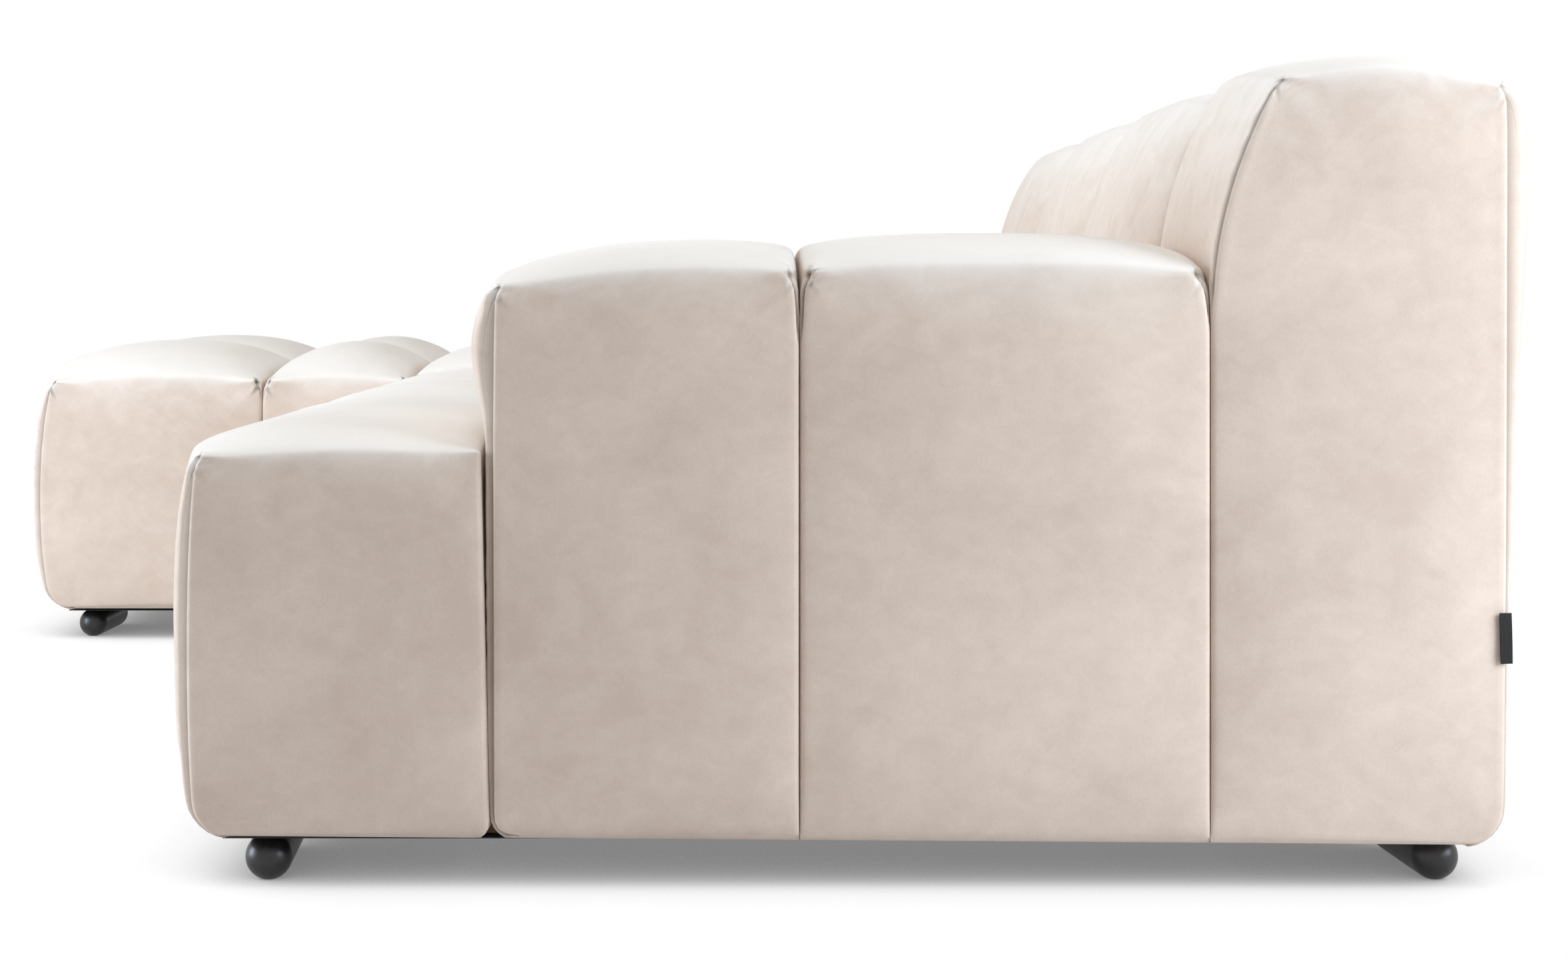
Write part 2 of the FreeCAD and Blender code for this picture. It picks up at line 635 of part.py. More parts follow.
def connector_plate(y):
    """A joggled plate under the sofa's end rail whose tongue reaches under the chaise."""
    low = LEG_HEIGHT - PLATE
    y0 = y - PLATE_WIDTH / 2
    y1 = y + PLATE_WIDTH / 2
    shank = box(X_SPLIT, X_SPLIT + PLATE_REACH, y0, y1, low, LEG_HEIGHT)
    tongue = box(X_SPLIT - PLATE_REACH, X_SPLIT + PLATE, y0, y1, low, LEG_HEIGHT)
    tongue.translate(Vector(0, 0, -PLATE_JOGGLE))
    plate = shank.fuse(tongue).removeSplitter()
    plate = bored(plate, SCREW_PLACES, low, LEG_HEIGHT, SCREW_DIAMETER)
    for x, line in PIN_PLACES:
        plate = plate.cut(rod(x, line, 0, LEG_HEIGHT, PIN_DIAMETER + 2 * PIN_CLEARANCE))
    return plate


def connector_pin(x, y):
    """A flanged pin with a tapered tip that drops into a plate, on a stud in the chaise's side rail."""
    under_flange = LEG_HEIGHT - PIN_FLANGE
    tip = under_flange - PIN_LENGTH
    pin = rod(x, y, under_flange, LEG_HEIGHT, PIN_FLANGE_DIAMETER)
    pin = pin.fuse(rod(x, y, tip + PIN_TAPER, under_flange, PIN_DIAMETER))
    pin = pin.fuse(rod(x, y, LEG_HEIGHT, Z_BASE + PIN_STUD_LENGTH, PIN_STUD_DIAMETER))
    taper = Part.makeCone(PIN_TIP_DIAMETER / 2, PIN_DIAMETER / 2, PIN_TAPER, Vector(x, y, tip))
    return pin.fuse(taper).removeSplitter()


def connector_screw(x, y):
    """A pan-head screw up through a plate into the sofa's end rail."""
    under_plate = LEG_HEIGHT - PLATE
    head = rod(x, y, under_plate - SCREW_HEAD, under_plate, SCREW_HEAD_DIAMETER)
    return head.fuse(rod(x, y, under_plate, Z_BASE + SCREW_LENGTH, SCREW_DIAMETER)).removeSplitter()


def connectors():
    """Plates, pins and screws that hold the modules together, by node name."""
    return {
        "sofa_connector_plates": Part.makeCompound([connector_plate(y) for y in CONNECTOR_LINES]),
        "sofa_connector_screws": Part.makeCompound([connector_screw(x, y) for x, y in SCREW_PLACES]),
        "chaise_connector_pins": Part.makeCompound([connector_pin(x, y) for x, y in PIN_PLACES]),
    }


def side_tab():
    """A plain tab sewn flat to the arm-end panel at its rear seam."""
    face = X_RIGHT - BLOCK_GAP / 2
    rear = Y_REAR - PANEL_DRAW + TAB_OVERHANG
    low = TAB_CENTRE_HEIGHT - TAB_HEIGHT / 2
    return box(face, face + TAB, rear - TAB_WIDTH, rear, low, low + TAB_HEIGHT)


def main():
    sofa_bolts = list(SOFA_BOLTS.values())
    chaise_bolts = list(CHAISE_BOLTS.values())
    nodes = {
        **sofa_padding(),
        **chaise_padding(),
        **sofa_base(),
        **back_frame(),
        **arm_frame(),
        **chaise_base(),
        **leg_set("sofa", SOFA_BOLTS, SOFA_LEG_TURN),
        **leg_set("chaise", CHAISE_BOLTS, CHAISE_LEG_TURN),
        **connectors(),
        "sofa_dust_cover": dust_cover(
            X_SPLIT, X_RIGHT, Y_FRONT, Y_REAR, sofa_bolts, SCREW_PLACES, SCREW_DIAMETER
        ),
        "chaise_dust_cover": dust_cover(
            X_LEFT, X_SPLIT, Y_CHAISE, Y_REAR, chaise_bolts, PIN_PLACES, PIN_STUD_DIAMETER
        ),
        "side_tab": side_tab(),
    }
    os.makedirs("parts", exist_ok=True)
    for name, shape in nodes.items():
        shape.exportStep(f"parts/{name}.step")


main()
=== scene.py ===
"""Velvet, hardware finishes, studio and camera for a lounge sofa with a chaise.

Every padded block is cut like a fitted cover: four upright corner seams that end in a tucked
corner, and a crowned top that rolls softly over the sides. The blocks are swelled by cloth
simulation and then sewn.
"""

import json
import logging
import math
from dataclasses import dataclass, field
from enum import Enum

import bpy
import numpy as np
from mathutils import Matrix, Vector


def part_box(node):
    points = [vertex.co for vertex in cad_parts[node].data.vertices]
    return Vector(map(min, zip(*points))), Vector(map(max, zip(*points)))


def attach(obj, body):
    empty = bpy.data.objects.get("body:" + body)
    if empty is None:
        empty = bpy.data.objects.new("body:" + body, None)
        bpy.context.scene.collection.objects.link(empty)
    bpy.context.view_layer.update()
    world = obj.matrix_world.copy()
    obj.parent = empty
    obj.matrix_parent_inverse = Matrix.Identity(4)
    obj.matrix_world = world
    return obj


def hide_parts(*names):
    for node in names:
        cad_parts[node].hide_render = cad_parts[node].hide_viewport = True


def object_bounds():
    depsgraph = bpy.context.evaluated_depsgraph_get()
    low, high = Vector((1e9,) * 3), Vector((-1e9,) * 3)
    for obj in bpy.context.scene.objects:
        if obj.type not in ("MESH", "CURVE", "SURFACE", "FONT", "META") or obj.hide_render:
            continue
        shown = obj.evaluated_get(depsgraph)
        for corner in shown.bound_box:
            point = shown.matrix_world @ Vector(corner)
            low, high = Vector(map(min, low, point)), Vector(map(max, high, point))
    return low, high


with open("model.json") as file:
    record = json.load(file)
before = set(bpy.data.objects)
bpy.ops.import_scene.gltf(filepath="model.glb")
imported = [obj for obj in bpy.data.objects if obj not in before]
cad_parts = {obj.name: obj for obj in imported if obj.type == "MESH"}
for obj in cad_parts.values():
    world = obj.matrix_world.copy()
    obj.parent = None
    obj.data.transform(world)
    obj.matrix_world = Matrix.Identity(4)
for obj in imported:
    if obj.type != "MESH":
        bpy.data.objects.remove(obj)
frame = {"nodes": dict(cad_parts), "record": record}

CAD_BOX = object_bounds()
LOG = logging.getLogger("lounge_sofa")
# Lengths below this count as none.
TINY = 1e-6
Colour = tuple[float, float, float]
Place = tuple[float, float, float]
Pair = tuple[float, float]
Stops = list[tuple[float, Colour]]


class Body(Enum):
    """The two modules, by the names of their rigid bodies."""

    SOFA = "sofa"
    CHAISE = "chaise"


# Shader tools


class Wire:
    """A shader socket that takes part in Python arithmetic."""

    def __init__(self, shader: "Shader", socket: bpy.types.NodeSocket) -> None:
        """Keeps the socket and the shader that new Math nodes go to."""
        self.shader = shader
        self.socket = socket

    def _math(self, operation: str, first: object, second: object) -> "Wire":
        """Result of a new Math node on two values or Wires."""
        node = self.shader.node("ShaderNodeMath", {"operation": operation}, {0: first, 1: second})
        return self.shader.out(node)

    def __add__(self, other: object) -> "Wire":
        """Sum."""
        return self._math("ADD", self, other)

    __radd__ = __add__

    def __sub__(self, other: object) -> "Wire":
        """Difference."""
        return self._math("SUBTRACT", self, other)

    def __rsub__(self, other: object) -> "Wire":
        """Reflected difference."""
        return self._math("SUBTRACT", other, self)

    def __mul__(self, other: object) -> "Wire":
        """Product."""
        return self._math("MULTIPLY", self, other)

    __rmul__ = __mul__

    def __pow__(self, other: object) -> "Wire":
        """Power."""
        return self._math("POWER", self, other)


class Shader:
    """A material's node tree with one method for every kind of node."""

    def __init__(self, name: str) -> None:
        """Starts an empty node material."""
        self.material = bpy.data.materials.new(name)
        self.material.use_nodes = True
        self.tree = self.material.node_tree
        self.tree.nodes.clear()

    def node(
        self, kind: str, settings: dict | None = None, inputs: dict | None = None
    ) -> bpy.types.Node:
        """Adds a node.

        Args:
            kind: the node's type name.
            settings: properties set before the inputs; "stops" fills a colour ramp.
            inputs: values or Wires by input name or number.

        Returns:
            The new node.
        """
        node = self.tree.nodes.new(kind)
        for key, value in (settings or {}).items():
            if key == "stops":
                self._stops(node.color_ramp, value)
            else:
                setattr(node, key, value)
        for key, value in (inputs or {}).items():
            if isinstance(value, Wire):
                self.tree.links.new(value.socket, node.inputs[key])
            else:
                node.inputs[key].default_value = value
        return node

    @staticmethod
    def _stops(ramp: bpy.types.ColorRamp, stops: Stops) -> None:
        """Fills a colour ramp.

        Args:
            ramp: the node's ramp.
            stops: its places and colours.
        """
        while len(ramp.elements) < len(stops):
            ramp.elements.new(1.0)
        for element, (place, colour) in zip(ramp.elements, stops):
            element.position = place
            element.color = (*colour, 1.0)

    def out(self, node: bpy.types.Node, key: str | int = 0) -> Wire:
        """One output of a node as a Wire."""
        return Wire(self, node.outputs[key])

    def place(self, scale: Place = (1.0, 1.0, 1.0)) -> Wire:
        """Object coordinates, stretched along each axis."""
        where = self.out(self.node("ShaderNodeTexCoord"), "Object")
        return self.out(self.node("ShaderNodeMapping", inputs={"Vector": where, "Scale": scale}))

    def noise(
        self, where: Wire, scale: float, detail: float = 4.0, distortion: float = 0.0
    ) -> Wire:
        """Noise from 0 to 1, with a scale in features per metre."""
        inputs = {"Vector": where, "Scale": scale, "Detail": detail, "Distortion": distortion}
        return self.out(self.node("ShaderNodeTexNoise", inputs=inputs), "Fac")

    def ramp(self, value: Wire, stops: Stops) -> Wire:
        """A colour ramp over a value."""
        return self.out(self.node("ShaderNodeValToRGB", {"stops": stops}, {"Fac": value}), "Color")

    def mix(self, share: Wire, first: Colour | Wire, second: Colour | Wire) -> Wire:
        """Mixes two colours.

        Args:
            share: how much of the second.
            first: colour or Wire.
            second: colour or Wire.

        Returns:
            The mixed colour.
        """
        a, b = (c if isinstance(c, Wire) else (*c, 1.0) for c in (first, second))
        # A Mix node's sockets share their names, so its colours go by number.
        node = self.node("ShaderNodeMix", {"data_type": "RGBA"}, {0: share, 6: a, 7: b})
        return self.out(node, 2)

    def bump(
        self, height: Wire, strength: float, distance: float, under: Wire | None = None
    ) -> Wire:
        """Bends a normal by a height.

        Args:
            height: the height.
            strength: share of the bend.
            distance: metres for a height of 1.
            under: a normal that is already bent.

        Returns:
            The bent normal.
        """
        inputs = {"Height": height, "Strength": strength, "Distance": distance}
        if under is not None:
            inputs["Normal"] = under
        return self.out(self.node("ShaderNodeBump", inputs=inputs))

    def fade(self, value: Wire, none: float, whole: float, most: float = 1.0) -> Wire:
        """Rises smoothly from 0 to its most.

        Args:
            value: what it follows.
            none: value where it is 0.
            whole: value from where it is whole.
            most: what it rises to.

        Returns:
            The risen share.
        """
        settings = {"interpolation_type": "SMOOTHSTEP"}
        inputs = {"Value": value, "From Min": none, "From Max": whole, "To Max": most}
        return self.out(self.node("ShaderNodeMapRange", settings, inputs))

    def attribute(self, name: str, output: str) -> Wire:
        """One of the mesh's own attributes."""
        return self.out(self.node("ShaderNodeAttribute", {"attribute_name": name}), output)

    def parts(self, vector: Wire) -> list[Wire]:
        """X, Y and Z of a vector."""
        split = self.node("ShaderNodeSeparateXYZ", inputs={0: vector})
        return [self.out(split, axis) for axis in "XYZ"]

    def finish(self, inputs: dict) -> bpy.types.Material:
        """Ends the tree in a Principled surface.

        Args:
            inputs: its socket values or Wires.

        Returns:
            The material.
        """
        surface = self.node("ShaderNodeBsdfPrincipled", inputs=inputs)
        self.node("ShaderNodeOutputMaterial", inputs={"Surface": self.out(surface)})
        return self.material


class WorldShader(Shader):
    """The node tree of the scene's world."""

    def __init__(self, name: str) -> None:
        """Starts an empty world."""
        world = bpy.data.worlds.new(name)
        world.use_nodes = True
        bpy.context.scene.world = world
        self.tree = world.node_tree
        self.tree.nodes.clear()


# Finishes


@dataclass(frozen=True)
class Velvet:
    """Short-pile velvet with a brushed, mottled nap. Painted light pales it where it faces up,
    and painted shade darkens it along its seams, in its tucked corners and along its creases.

    Patterns are in features per metre. A crease is an angle and a drop below its corner.
    """

    brushed: Colour = (0.750, 0.637, 0.557)
    lifted: Colour = (0.617, 0.506, 0.434)
    # The crest tones are painted light: paler, more neutral colours for surfaces that face up, in
    # place of the light that falls on the tops.
    crest: Colour = (0.922, 0.911, 0.898)
    top_light_lifted: Colour = (0.880, 0.864, 0.844)
    # The stitched colour is painted shade: the dark tone of the seam grooves, the tucked corners
    # and the creases.
    stitched: Colour = (0.22, 0.175, 0.14)
    sheen: Colour = (1.0, 0.985, 0.97)
    sweep: Place = (1.0, 0.6, 0.8)
    clouds: float = 4.2
    mottle: float = 24.0
    strokes: float = 70.0
    grain: float = 420.0
    pile: float = 900.0
    nap_shares: tuple[float, ...] = (0.50, 0.20, 0.17, 0.13)
    nap_range: Pair = (0.38, 0.62)
    roughness: Pair = (0.70, 0.22)
    # Where the painted light on up-facing surfaces begins and becomes whole, how unevenly it
    # spreads, and how strong it gets.
    top_light_between: Pair = (0.05, 0.80)
    top_light_unevenly: float = 0.25
    top_light_most: float = 0.94
    seam_shade: float = 0.75
    crease_shade: float = 0.60
    crease_bump: float = 0.8
    crease_depth: float = -0.003
    crease_length: float = 0.028
    crease_width: float = 0.0042
    crease_fades_from: float = 0.004
    crease_starts_over: float = 0.003
    creases: tuple[Pair, ...] = ((0.98, 0.0), (-0.85, 0.009))

    def _creases(self, shader: Shader) -> Wire:
        """Creases that fan out from the tucked corners.

        Args:
            shader: the velvet's tree.

        Returns:
            1 along a crease and 0 away from it.
        """
        along, up, strength = shader.parts(shader.attribute("fold", "Vector"))
        drawn: Wire | float = 0.0
        for angle, drop in self.creases:
            ahead = along * math.cos(angle) + (up + drop) * math.sin(angle)
            across = along * math.sin(angle) - (up + drop) * math.cos(angle)
            near = shader.fade((across * across) ** 0.5, self.crease_width, 0.0)
            ends = shader.fade(ahead, self.crease_length, self.crease_fades_from)
            length = ends * shader.fade(ahead, 0.0, self.crease_starts_over)
            drawn = near * length + drawn
        return drawn * strength

    def make(self) -> bpy.types.Material:
        """Builds the material.

        Returns:
            The velvet.
        """
        shader = Shader("ivory_velvet")
        where = shader.place()
        swept = shader.place(self.sweep)
        clouds = shader.noise(where, self.clouds, detail=4.0, distortion=0.6)
        mottle = shader.noise(swept, self.mottle, detail=5.0, distortion=1.3)
        strokes = shader.noise(swept, self.strokes, detail=4.0, distortion=0.8)
        grain = shader.noise(where, self.grain, detail=2.0)
        shares = self.nap_shares
        nap = clouds * shares[0] + mottle * shares[1] + strokes * shares[2] + grain * shares[3]
        tone = shader.ramp(nap, list(zip(self.nap_range, (self.lifted, self.brushed))))
        # Painted light: surfaces that face up pale towards the crest tones, unevenly with the
        # mottle.
        top_light_tone = shader.ramp(nap, list(zip(self.nap_range, (self.top_light_lifted, self.crest))))
        facing = shader.out(shader.node("ShaderNodeNewGeometry"), "Normal")
        uneven = (mottle - 0.5) * self.top_light_unevenly
        painted_top_light = shader.fade(shader.parts(facing)[2] + uneven, *self.top_light_between, self.top_light_most)
        creases = self._creases(shader)
        # Painted shade: the velvet darkens towards the stitched colour along the seam grooves, in
        # the tucked corners and along the creases.
        painted_shade = shader.attribute("seam", "Fac") * self.seam_shade + creases * self.crease_shade
        pile = shader.noise(where, self.pile, detail=2.0)
        brushed = shader.bump(pile + mottle * 0.8, strength=0.12, distance=0.0012)
        return shader.finish({
            "Base Color": shader.mix(painted_shade, shader.mix(painted_top_light, tone, top_light_tone), self.stitched),
            "Roughness": nap * self.roughness[1] + self.roughness[0],
            "Normal": shader.bump(creases, self.crease_bump, self.crease_depth, under=brushed),
            "Specular IOR Level": 0.15,
            "Sheen Weight": 0.28,
            "Sheen Roughness": 0.40,
            "Sheen Tint": (*self.sheen, 1.0),
        })


@dataclass(frozen=True)
class Timber:
    """Planed softwood with long grain."""

    early: Colour = (0.62, 0.44, 0.26)
    late: Colour = (0.42, 0.26, 0.13)
    ring_stretch: Place = (1.0, 1.0, 14.0)
    fibre_stretch: Place = (6.0, 6.0, 90.0)

    def make(self) -> bpy.types.Material:
        """Builds the material.

        Returns:
            The timber.
        """
        shader = Shader("planed_softwood")
        rings = shader.noise(shader.place(self.ring_stretch), 9.0, detail=6.0, distortion=1.4)
        fibres = shader.noise(shader.place(self.fibre_stretch), 14.0, detail=3.0)
        grain = rings * 0.75 + fibres * 0.25
        return shader.finish({
            "Base Color": shader.ramp(grain, [(0.38, self.late), (0.60, self.early)]),
            "Roughness": grain * 0.25 + 0.52,
            "Normal": shader.bump(grain, strength=0.25, distance=0.0006),
        })


@dataclass(frozen=True)
class Woven:
    """Plain weave for the elastic straps, the underside cloth and the tab."""

    name: str
    warp: Colour
    weft: Colour
    threads: float
    roughness: float = 0.82

    def make(self) -> bpy.types.Material:
        """Builds the material.

        Returns:
            The weave.
        """
        shader = Shader(self.name)
        where = shader.place()
        inputs = {"Vector": where, "Scale": self.threads, "Distortion": 0.3}
        bands = [{"wave_type": "BANDS", "bands_direction": axis} for axis in "XY"]
        warp, weft = (
            shader.out(shader.node("ShaderNodeTexWave", settings, inputs), "Fac")
            for settings in bands
        )
        weave = warp * weft
        fuzz = shader.noise(where, 240.0, detail=3.0)
        return shader.finish({
            "Base Color": shader.mix(weave * 0.8 + fuzz * 0.2, self.warp, self.weft),
            "Roughness": fuzz * 0.12 + self.roughness,
            "Normal": shader.bump(weave, strength=0.35, distance=0.0008),
        })


@dataclass(frozen=True)
class Coating:
    """Lacquer, plating or powder coat: two tones in blotches over a faintly peeled surface."""

    name: str
    tones: tuple[Colour, Colour]
    roughness: Pair
    metallic: float = 0.0
    blotches: float = 45.0
    distortion: float = 0.6
    blotch_range: Pair = (0.35, 0.65)
    peel: float = 600.0
    peel_strength: float = 0.06
    peel_depth: float = 0.0004

    def make(self) -> bpy.types.Material:
        """Builds the material.

        Returns:
            The coating.
        """
        shader = Shader(self.name)
        where = shader.place()
        bloom = shader.noise(where, self.blotches, detail=5.0, distortion=self.distortion)
        peel = shader.noise(where, self.peel, detail=2.0)
        return shader.finish({
            "Base Color": shader.ramp(bloom, list(zip(self.blotch_range, self.tones))),
            "Roughness": bloom * self.roughness[1] + self.roughness[0],
            "Metallic": self.metallic,
            "Normal": shader.bump(peel, self.peel_strength, self.peel_depth),
        })


# Mesh tools


def deselect() -> None:
    """Leaves object mode with nothing selected."""
    if bpy.context.object is not None and bpy.context.object.mode != "OBJECT":
        bpy.ops.object.mode_set(mode="OBJECT")
    bpy.ops.object.select_all(action="DESELECT")


def activate(*pieces: bpy.types.Object) -> None:
    """Selects pieces.

    Args:
        pieces: what to select; the first one becomes active.
    """
    deselect()
    for piece in pieces:
        piece.select_set(True)
    bpy.context.view_layer.objects.active = pieces[0]


def points_of(piece: bpy.types.Object) -> np.ndarray:
    """Reads a mesh.

    Args:
        piece: the mesh's object.

    Returns:
        Vertex places, one row each.
    """
    places = np.zeros(len(piece.data.vertices) * 3)
    piece.data.vertices.foreach_get("co", places)
    return places.reshape(-1, 3)


def move_points(piece: bpy.types.Object, places: np.ndarray) -> None:
    """Puts every vertex of a mesh in its place."""
    piece.data.vertices.foreach_set("co", places.astype(np.float32).ravel())
    piece.data.update()


def others(axis: int) -> list[int]:
    """The two axes across one."""
    return [a for a in range(3) if a != axis]


def cubic_weights(places: np.ndarray, count: int) -> np.ndarray:
    """Weights that read a smooth curve through evenly spaced samples.

    Args:
        places: where to read, from 0 to count.
        count: number of steps between the samples.

    Returns:
        One row of weights over the samples for each place.
    """
    low = np.clip(np.floor(places).astype(int), 0, count - 1)
    f = places - low
    taps = (
        (-1, -0.5 * f + f**2 - 0.5 * f**3),
        (0, 1.0 - 2.5 * f**2 + 1.5 * f**3),
        (1, 0.5 * f + 2.0 * f**2 - 1.5 * f**3),
        (2, -0.5 * f**2 + 0.5 * f**3),
    )
    weights = np.zeros((len(places), count + 1))
    rows = np.arange(len(places))
    for offset, weight in taps:
        np.add.at(weights, (rows, np.clip(low + offset, 0, count)), weight)
    return weights


class UnitBox:
    """A closed box of six grids that knows the whole-number place of every vertex."""

    def __init__(self, name: str, counts: tuple[int, int, int]) -> None:
        """Models the box.

        Args:
            name: name of the new piece.
            counts: steps along X, Y and Z.
        """
        self.counts = counts
        panels = [self._panel(axis, side) for axis in range(3) for side in (0, 1)]
        activate(*panels)
        bpy.ops.object.join()
        self.piece = bpy.context.object
        self.piece.name = name
        self.piece.data.name = name
        bpy.ops.object.mode_set(mode="EDIT")
        bpy.ops.mesh.select_all(action="SELECT")
        bpy.ops.mesh.remove_doubles(threshold=1e-5)
        bpy.ops.mesh.normals_make_consistent(inside=False)
        bpy.ops.object.mode_set(mode="OBJECT")
        self.index = np.rint(points_of(self.piece) * np.array(counts)).astype(int)
        self.low = self.index == 0
        self.high = self.index == np.array(counts)

    def _panel(self, axis: int, side: int) -> bpy.types.Object:
        """One side of the unit box.

        Args:
            axis: the direction that it faces.
            side: 0 for the low side and 1 for the high one.

        Returns:
            The grid, with its place in its mesh.
        """
        u, v = others(axis)
        deselect()
        bpy.ops.mesh.primitive_grid_add(
            x_subdivisions=self.counts[u], y_subdivisions=self.counts[v], size=1.0
        )
        panel = bpy.context.object
        place = Matrix.Identity(4)
        for row in range(3):
            turned = [float(row == column) for column in (u, v, axis)]
            place[row] = (*turned, float(side) if row == axis else 0.5)
        panel.data.transform(place)
        return panel

    def face(self, axis: int, side: int) -> np.ndarray:
        """Vertex numbers of one side.

        Args:
            axis: the direction that it faces.
            side: 0 for the low side and 1 for the high one.

        Returns:
            The numbers, laid out in the side's own two directions.
        """
        u, v = others(axis)
        on_face = np.nonzero((self.low, self.high)[side][:, axis])[0]
        numbers = np.zeros((self.counts[u] + 1, self.counts[v] + 1), int)
        numbers[self.index[on_face, u], self.index[on_face, v]] = on_face
        return numbers


# Padded blocks


@dataclass(frozen=True)
class Rows:
    """A block's divisions along one axis: sewn rows, each with coarse steps and fine lines."""

    edges: tuple[float, ...]
    coarse_step: float = 0.017
    fine_step: float = 0.0078
    near_seam: tuple[float, ...] = (0.0, 0.0022, 0.0055, 0.0105, 0.0175, 0.0265)
    fewest_coarse: int = 4
    fewest_fine: int = 2

    def coarse(self) -> list[int]:
        """Coarse steps in each row."""
        counts = [round(length / self.coarse_step) for length in np.diff(self.edges)]
        return [max(self.fewest_coarse, count) for count in counts]

    def fine(self) -> np.ndarray:
        """Divides the rows finely, closest beside their seams.

        Returns:
            Places of the fine lines, counted in coarse steps.
        """
        lines: list[float] = []
        start = 0
        for length, steps in zip(np.diff(self.edges), self.coarse()):
            seam = np.array(self.near_seam)
            middle = length - 2 * seam[-1]
            count = max(self.fewest_fine, round(middle / self.fine_step))
            inner = seam[-1] + np.linspace(0.0, middle, count + 1)
            row = np.concatenate([seam[:-1], inner, length - seam[-2::-1]])
            lines.extend(start + row[:-1] / length * steps)
            start += steps
        return np.array([*lines, float(start)])

    def real(self, places: np.ndarray) -> np.ndarray:
        """Real distances for places counted in coarse steps."""
        return np.interp(places, np.concatenate([[0], np.cumsum(self.coarse())]), self.edges)


def arch(away: np.ndarray, length: float, power: float = 2.4) -> np.ndarray:
    """Rises steeply from an edge and levels off: 0 at the edge and 1 from a length on."""
    return np.sqrt(1.0 - (1.0 - np.clip(away / length, 0.0, 1.0)) ** power)


def swell(away: np.ndarray, length: float, power: float = 1.0) -> np.ndarray:
    """Rises from an edge at a slant and levels off: 0 at the edge and 1 from a length on."""
    return np.sin(np.clip(away / length, 0.0, 1.0) * math.pi / 2) ** power


def ease(share: np.ndarray) -> np.ndarray:
    """Rises from 0 to 1, level at both ends."""
    held = np.clip(share, 0.0, 1.0)
    return held * held * (3.0 - 2.0 * held)


@dataclass(frozen=True)
class Wall:
    """The front or rear of a block: its seam line runs from the hem to the tucked top corner.

    A free wall is full and its top rolls over it. A held wall meets a neighbour up to a touch
    height; its corners lean away above that, and its top edge keeps a share of the crown.
    """

    y: float
    top: float
    full: float = 0.0
    touch: float = 0.0
    pressed: float = 0.0
    rake: float = 0.0
    lean: float = 0.0
    bow: float = 0.0
    tuck: float = 0.0
    hem: float = 0.0
    eased: float = 0.0
    foot: float = 0.043
    crest: float = 0.45
    reach: float = 0.15
    rising: float = 0.0
    rounded: float = 0.0
    taper: float = 0.09
    free: bool = False
    slanted: bool = False
    stitched: bool = True

    # Points and powers of the seam line, and the distances over which the wall fills out.
    HEM_STEPS = 9
    RISE_STEPS = 17
    BOW_POWER = 2.2
    TUCK_POWER = 3
    EASED_REACH = 0.10
    OPENS_OVER = 0.06
    PRESSED_REACH = 0.014
    CORNER_REACH = 0.09
    RISES_FROM = 0.05
    HEM_REACH = 0.22
    HEM_POWER = 0.8

    @property
    def held(self) -> float:
        """Height up to which a neighbour holds the wall flat."""
        return 0.0 if self.pressed else self.touch

    def line(
        self, share: np.ndarray, from_ends: np.ndarray, reach: float, inward: float
    ) -> tuple[np.ndarray, np.ndarray]:
        """Points of the seam line.

        Args:
            share: 0 at the hem and 1 at the top corner.
            from_ends: distance from the nearest upright seam.
            reach: how far the leaning corners reach.
            inward: 1 on a front wall and -1 on a rear one.

        Returns:
            Y and Z of each point.
        """
        radius = self.hem + self.eased
        quarter = math.pi / 2
        turn = np.linspace(0.0, quarter, self.HEM_STEPS) if radius > 0 else np.array([quarter])
        bend = max(self.touch, self.foot + radius)
        rise = np.linspace(0.0, 1.0, self.RISE_STEPS)
        hem_z = self.foot + radius * (1 - np.cos(turn))
        z = np.concatenate([hem_z, bend + (self.top - bend) * rise])
        high = (z - self.foot) / (self.top - self.foot)
        y = np.concatenate([self.hem * (1 - np.sin(turn)), self.rake * rise**2])
        bowed = self.bow * (1 - np.abs(2 * high - 1) ** self.BOW_POWER)
        y = y + self.tuck * (1 - high) ** self.TUCK_POWER - bowed
        eased = np.concatenate([self.eased * (1 - np.sin(turn)), 0.0 * rise])
        leaning = np.concatenate([0.0 * turn, self.lean * rise**2])
        length = np.concatenate([[0.0], np.cumsum(np.hypot(np.diff(y), np.diff(z)))])
        at = share * length[-1]
        near_end = np.clip(1.0 - from_ends / self.EASED_REACH, 0.0, 1.0)
        near_seam = np.clip(1.0 - from_ends / reach, 0.0, 1.0) ** 2
        off = np.interp(at, length, y) + near_end * np.interp(at, length, eased)
        off = off + near_seam * np.interp(at, length, leaning)
        return self.y + inward * off, np.interp(at, length, z)

    def fullness(self, z: np.ndarray, from_ends: np.ndarray) -> np.ndarray:
        """How far the wall stands out from its seam line.

        Args:
            z: height of the seam line.
            from_ends: distance from the nearest upright seam.

        Returns:
            The distance outward.
        """
        opened = ease((z - self.touch) / self.OPENS_OVER) if self.touch else np.ones_like(z)
        grown = (swell if self.slanted else arch)(from_ends, self.reach)
        out = self.pressed * arch(from_ends, self.PRESSED_REACH)
        out = out + (self.full - self.pressed) * opened * grown
        corner = np.maximum(1.0 - ease(from_ends / self.CORNER_REACH), self.rounded)
        taper = 1.0 - corner * (1.0 - arch(self.top - z, self.taper, 2.0))
        low = swell(z - self.foot, self.HEM_REACH, self.HEM_POWER)
        if self.rising:
            low = ease((z - self.foot - self.RISES_FROM) / self.rising)
        return out * taper * low


@dataclass(frozen=True)
class Side:
    """The left or right of a block, and how far up a neighbour holds it flat."""

    full: float = 0.0
    touch: float = 0.0
    draw: float = 0.0
    crest: float = 0.0
    foot_round: float = 0.0
    slope: float = 0.0
    free: bool = False

    @property
    def held(self) -> float:
        """Height up to which a neighbour holds the side flat."""
        return self.touch


